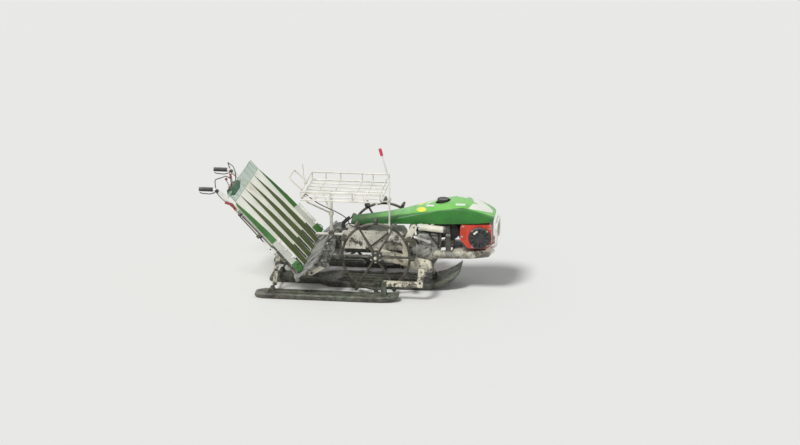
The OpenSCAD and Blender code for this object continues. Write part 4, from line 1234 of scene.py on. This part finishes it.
# %% Feed belts
LANES = 5
LANE = 2 * HALF_TRAY / LANES
belts = Shape()
for lane in range(LANES):
    y = (lane - 2) * LANE
    for off in (-0.045, 0.045):
        belts.box((0.150, 0.034, 0.0022), on_tray(0.105, y + off, 0.0028), TRAY_TURN, 0.0008)
        for k in range(9):
            place = on_tray(0.041 + 0.016 * k, y + off, 0.0050)
            belts.box((0.004, 0.034, 0.004), place, TRAY_TURN, 0.001)
belts.done("feed_belts", "tray", "black_plastic")

# %% [markdown]
# ## Cables to the steering clutches
# A cable leaves each squeeze lever, runs down the outside of the handle frame, passes under the
# planting arms and ends at the gearbox. Clips hold it to the frame. One line of places is written
# for the left side, and a sign mirrors it, because a mirrored mesh would turn inside out.

# %% Clutch cables
CABLE_LINE = [(-1.095, 0.305, 0.842), (-1.060, 0.322, 0.800), (-0.950, 0.3215, 0.720),
              (-0.780, 0.3215, 0.548), (-0.632, 0.3215, 0.394), (-0.440, 0.3215, 0.166),
              (-0.350, 0.300, 0.146),
              (-0.230, 0.170, 0.150), (-0.110, 0.090, 0.215), (0.0, 0.050, 0.255),
              (0.300, 0.045, 0.2585), (0.520, 0.045, 0.2585), (0.562, 0.045, 0.275)]
cables = [[(x, s * y, z) for x, y, z in CABLE_LINE] for s in (-1, 1)]
rods("clutch_cables", "chassis", cables, 0.0036)
clips = Shape()
for x, z in ((-0.900, 0.677), (-0.700, 0.471), (-0.520, 0.268)):
    for s in (-1, 1):
        clips.box((0.014, 0.012, 0.030), (x, s * 0.3185, z), tilted(44), 0.002)
clips.done("cable_clips", "chassis", "steel")

# %% [markdown]
# ## Clamps and washers
# Where tubes meet they are held by clamps: the handlebars on the handle frame, the sighting pole
# on the rack, the column on its foot tube. Washers close the ends of the shafts. They share a body
# and a finish, so one mesh holds them all.

# %% Clamps and washers
POLE_CLAMP = (0.342, 0.800)
FOOT_CLAMP = (-0.178, 0.436)
SHAFT = side_view(middle_of("float_shaft"))
clamps = Shape()
for s in (-1, 1):
    clamps.box((0.052, 0.006, 0.046), (-0.926, s * 0.317, 0.7045), tilted(46), 0.003)
    for x, z in ((-0.913, 0.691), (-0.939, 0.718)):
        clamps.disc(0.007, 0.010, (x, s * 0.323, z), sides=6)
    for radius, x, y, z in ((0.017, SHAFT[0], 0.4785, SHAFT[1]), (0.016, AXLE[0], 0.3365, AXLE[1]),
                            (0.015, 0.328, 0.466, 0.150)):
        clamps.disc(radius, 0.004, (x, s * y, z), sides=24)
clamps.box((0.030, 0.030, 0.026), (POLE_CLAMP[0], -0.203, POLE_CLAMP[1]), bevel=0.004)
clamps.disc(0.006, 0.008, (POLE_CLAMP[0], -0.222, POLE_CLAMP[1]), sides=6)
clamps.box((0.046, 0.040, 0.034), (FOOT_CLAMP[0], 0.0, FOOT_CLAMP[1]), bevel=0.005)
for y in (-0.023, 0.023):
    for off in (-0.014, 0.014):
        clamps.disc(0.007, 0.008, (FOOT_CLAMP[0] + off, y, FOOT_CLAMP[1]), sides=6)
clamps.done("clamps", "chassis", "cream_paint")

# %% [markdown]
# ## Weld beads
# The rack is welded from rod. Its joints are known from the rods' places, so they are listed as
# points, and a tree puts a small ball at each, pushed out unevenly and sized at random. The rack's
# box, less half a rod, gives the heights of its two levels.

# %% Welds
def bead_tree(material):
    t = Tree("weld_beads", {"Bead": 0.0095, "Seed": 5})
    ball = t.geo("MeshIcoSphere", {"Radius": t.size("Bead"), "Subdivisions": 3})
    uneven = t.pushed_out(ball.outputs["Mesh"], t.times(t.noise(240.0, 1.0), 0.003))
    return t.close(t.copies(t.given, uneven, Scale=t.chance(0.75, 1.05)), material)


HALF_ROD = 0.007
rack_low, rack_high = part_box("rack")
BASE_Z, RIM_Z = rack_low[2] + HALF_ROD, rack_high[2] - HALF_ROD
CROSS_RODS = (-0.386, -0.268, -0.141, 0.045, 0.138, 0.275)
welds = []
for x in CROSS_RODS:
    for y in (-0.3, 0.3):
        welds += [(x, y, BASE_Z), (x, y, RIM_Z)]
    if x not in (CROSS_RODS[0], CROSS_RODS[-1]):
        welds += [(x, 0.1 * k, BASE_Z) for k in range(-2, 3)]
welds += [(x, 0.1 * k, BASE_Z) for x in (CROSS_RODS[0], CROSS_RODS[-1]) for k in range(-2, 3)]
starts = points_mesh("rack_welds", welds, [(0, 0, 1)] * len(welds))
beads = grown_mesh("rack_welds", starts, bead_tree(FINISHES["white_paint"]), {"Bead": 0.0078})
link("rack_welds", beads, "chassis")
print("rack welds", len(welds))

# %% [markdown]
# ## Softer edges on the castings
# Cast and folded parts have no knife edges. Two modifiers join each solid's corners and round
# every sharp edge a little; the solids' own meshes stay as the CAD made them. The bonnet and the
# floats get smooth shading instead, from a tree that keeps only their sharp edges.

# %% Rounded edges
SAME_CORNER = 0.00002
EDGES = {"gearbox": 0.003, "rear_case": 0.003, "engine": 0.0025, "fan_housing": 0.003,
         "front_frame": 0.0025, "fuel_tank": 0.004, "belt_cover": 0.003, "console": 0.003,
         "handle_frame": 0.002, "outriggers": 0.0025}


def soften(name, width):
    joined = nodes[name].modifiers.new("join", "WELD")
    joined.merge_threshold = SAME_CORNER
    rounded = nodes[name].modifiers.new("round", "BEVEL")
    rounded.width = width
    rounded.segments = 2
    rounded.limit_method = "ANGLE"
    rounded.angle_limit = math.radians(38)


def shading_tree():
    """Joins corners, shades faces smoothly and keeps the edges that turn more than an angle."""
    t = Tree("smooth_shading", {"Keep Above": 0.5})
    joined = t.geo("MergeByDistance", {"Geometry": t.given, "Distance": SAME_CORNER})
    smooth = t.geo("SetShadeSmooth",
                   {"Geometry": joined.outputs[0], "Shade Smooth": True}, domain="FACE")
    sharp = t.math("GREATER_THAN", t.reading("MeshEdgeAngle"), t.size("Keep Above"))
    kept = t.geo("SetShadeSmooth",
                 {"Geometry": smooth.outputs[0], "Selection": sharp, "Shade Smooth": False},
                 domain="EDGE")
    return t.end_with(kept.outputs[0])


shading_group = shading_tree()
for name in ("bonnet", "side_floats", "middle_float"):
    nodes[name].modifiers.new("smooth", "NODES").node_group = shading_group
for name, width in EDGES.items():
    soften(name, width)
print("edges rounded on", len(EDGES), "solids")
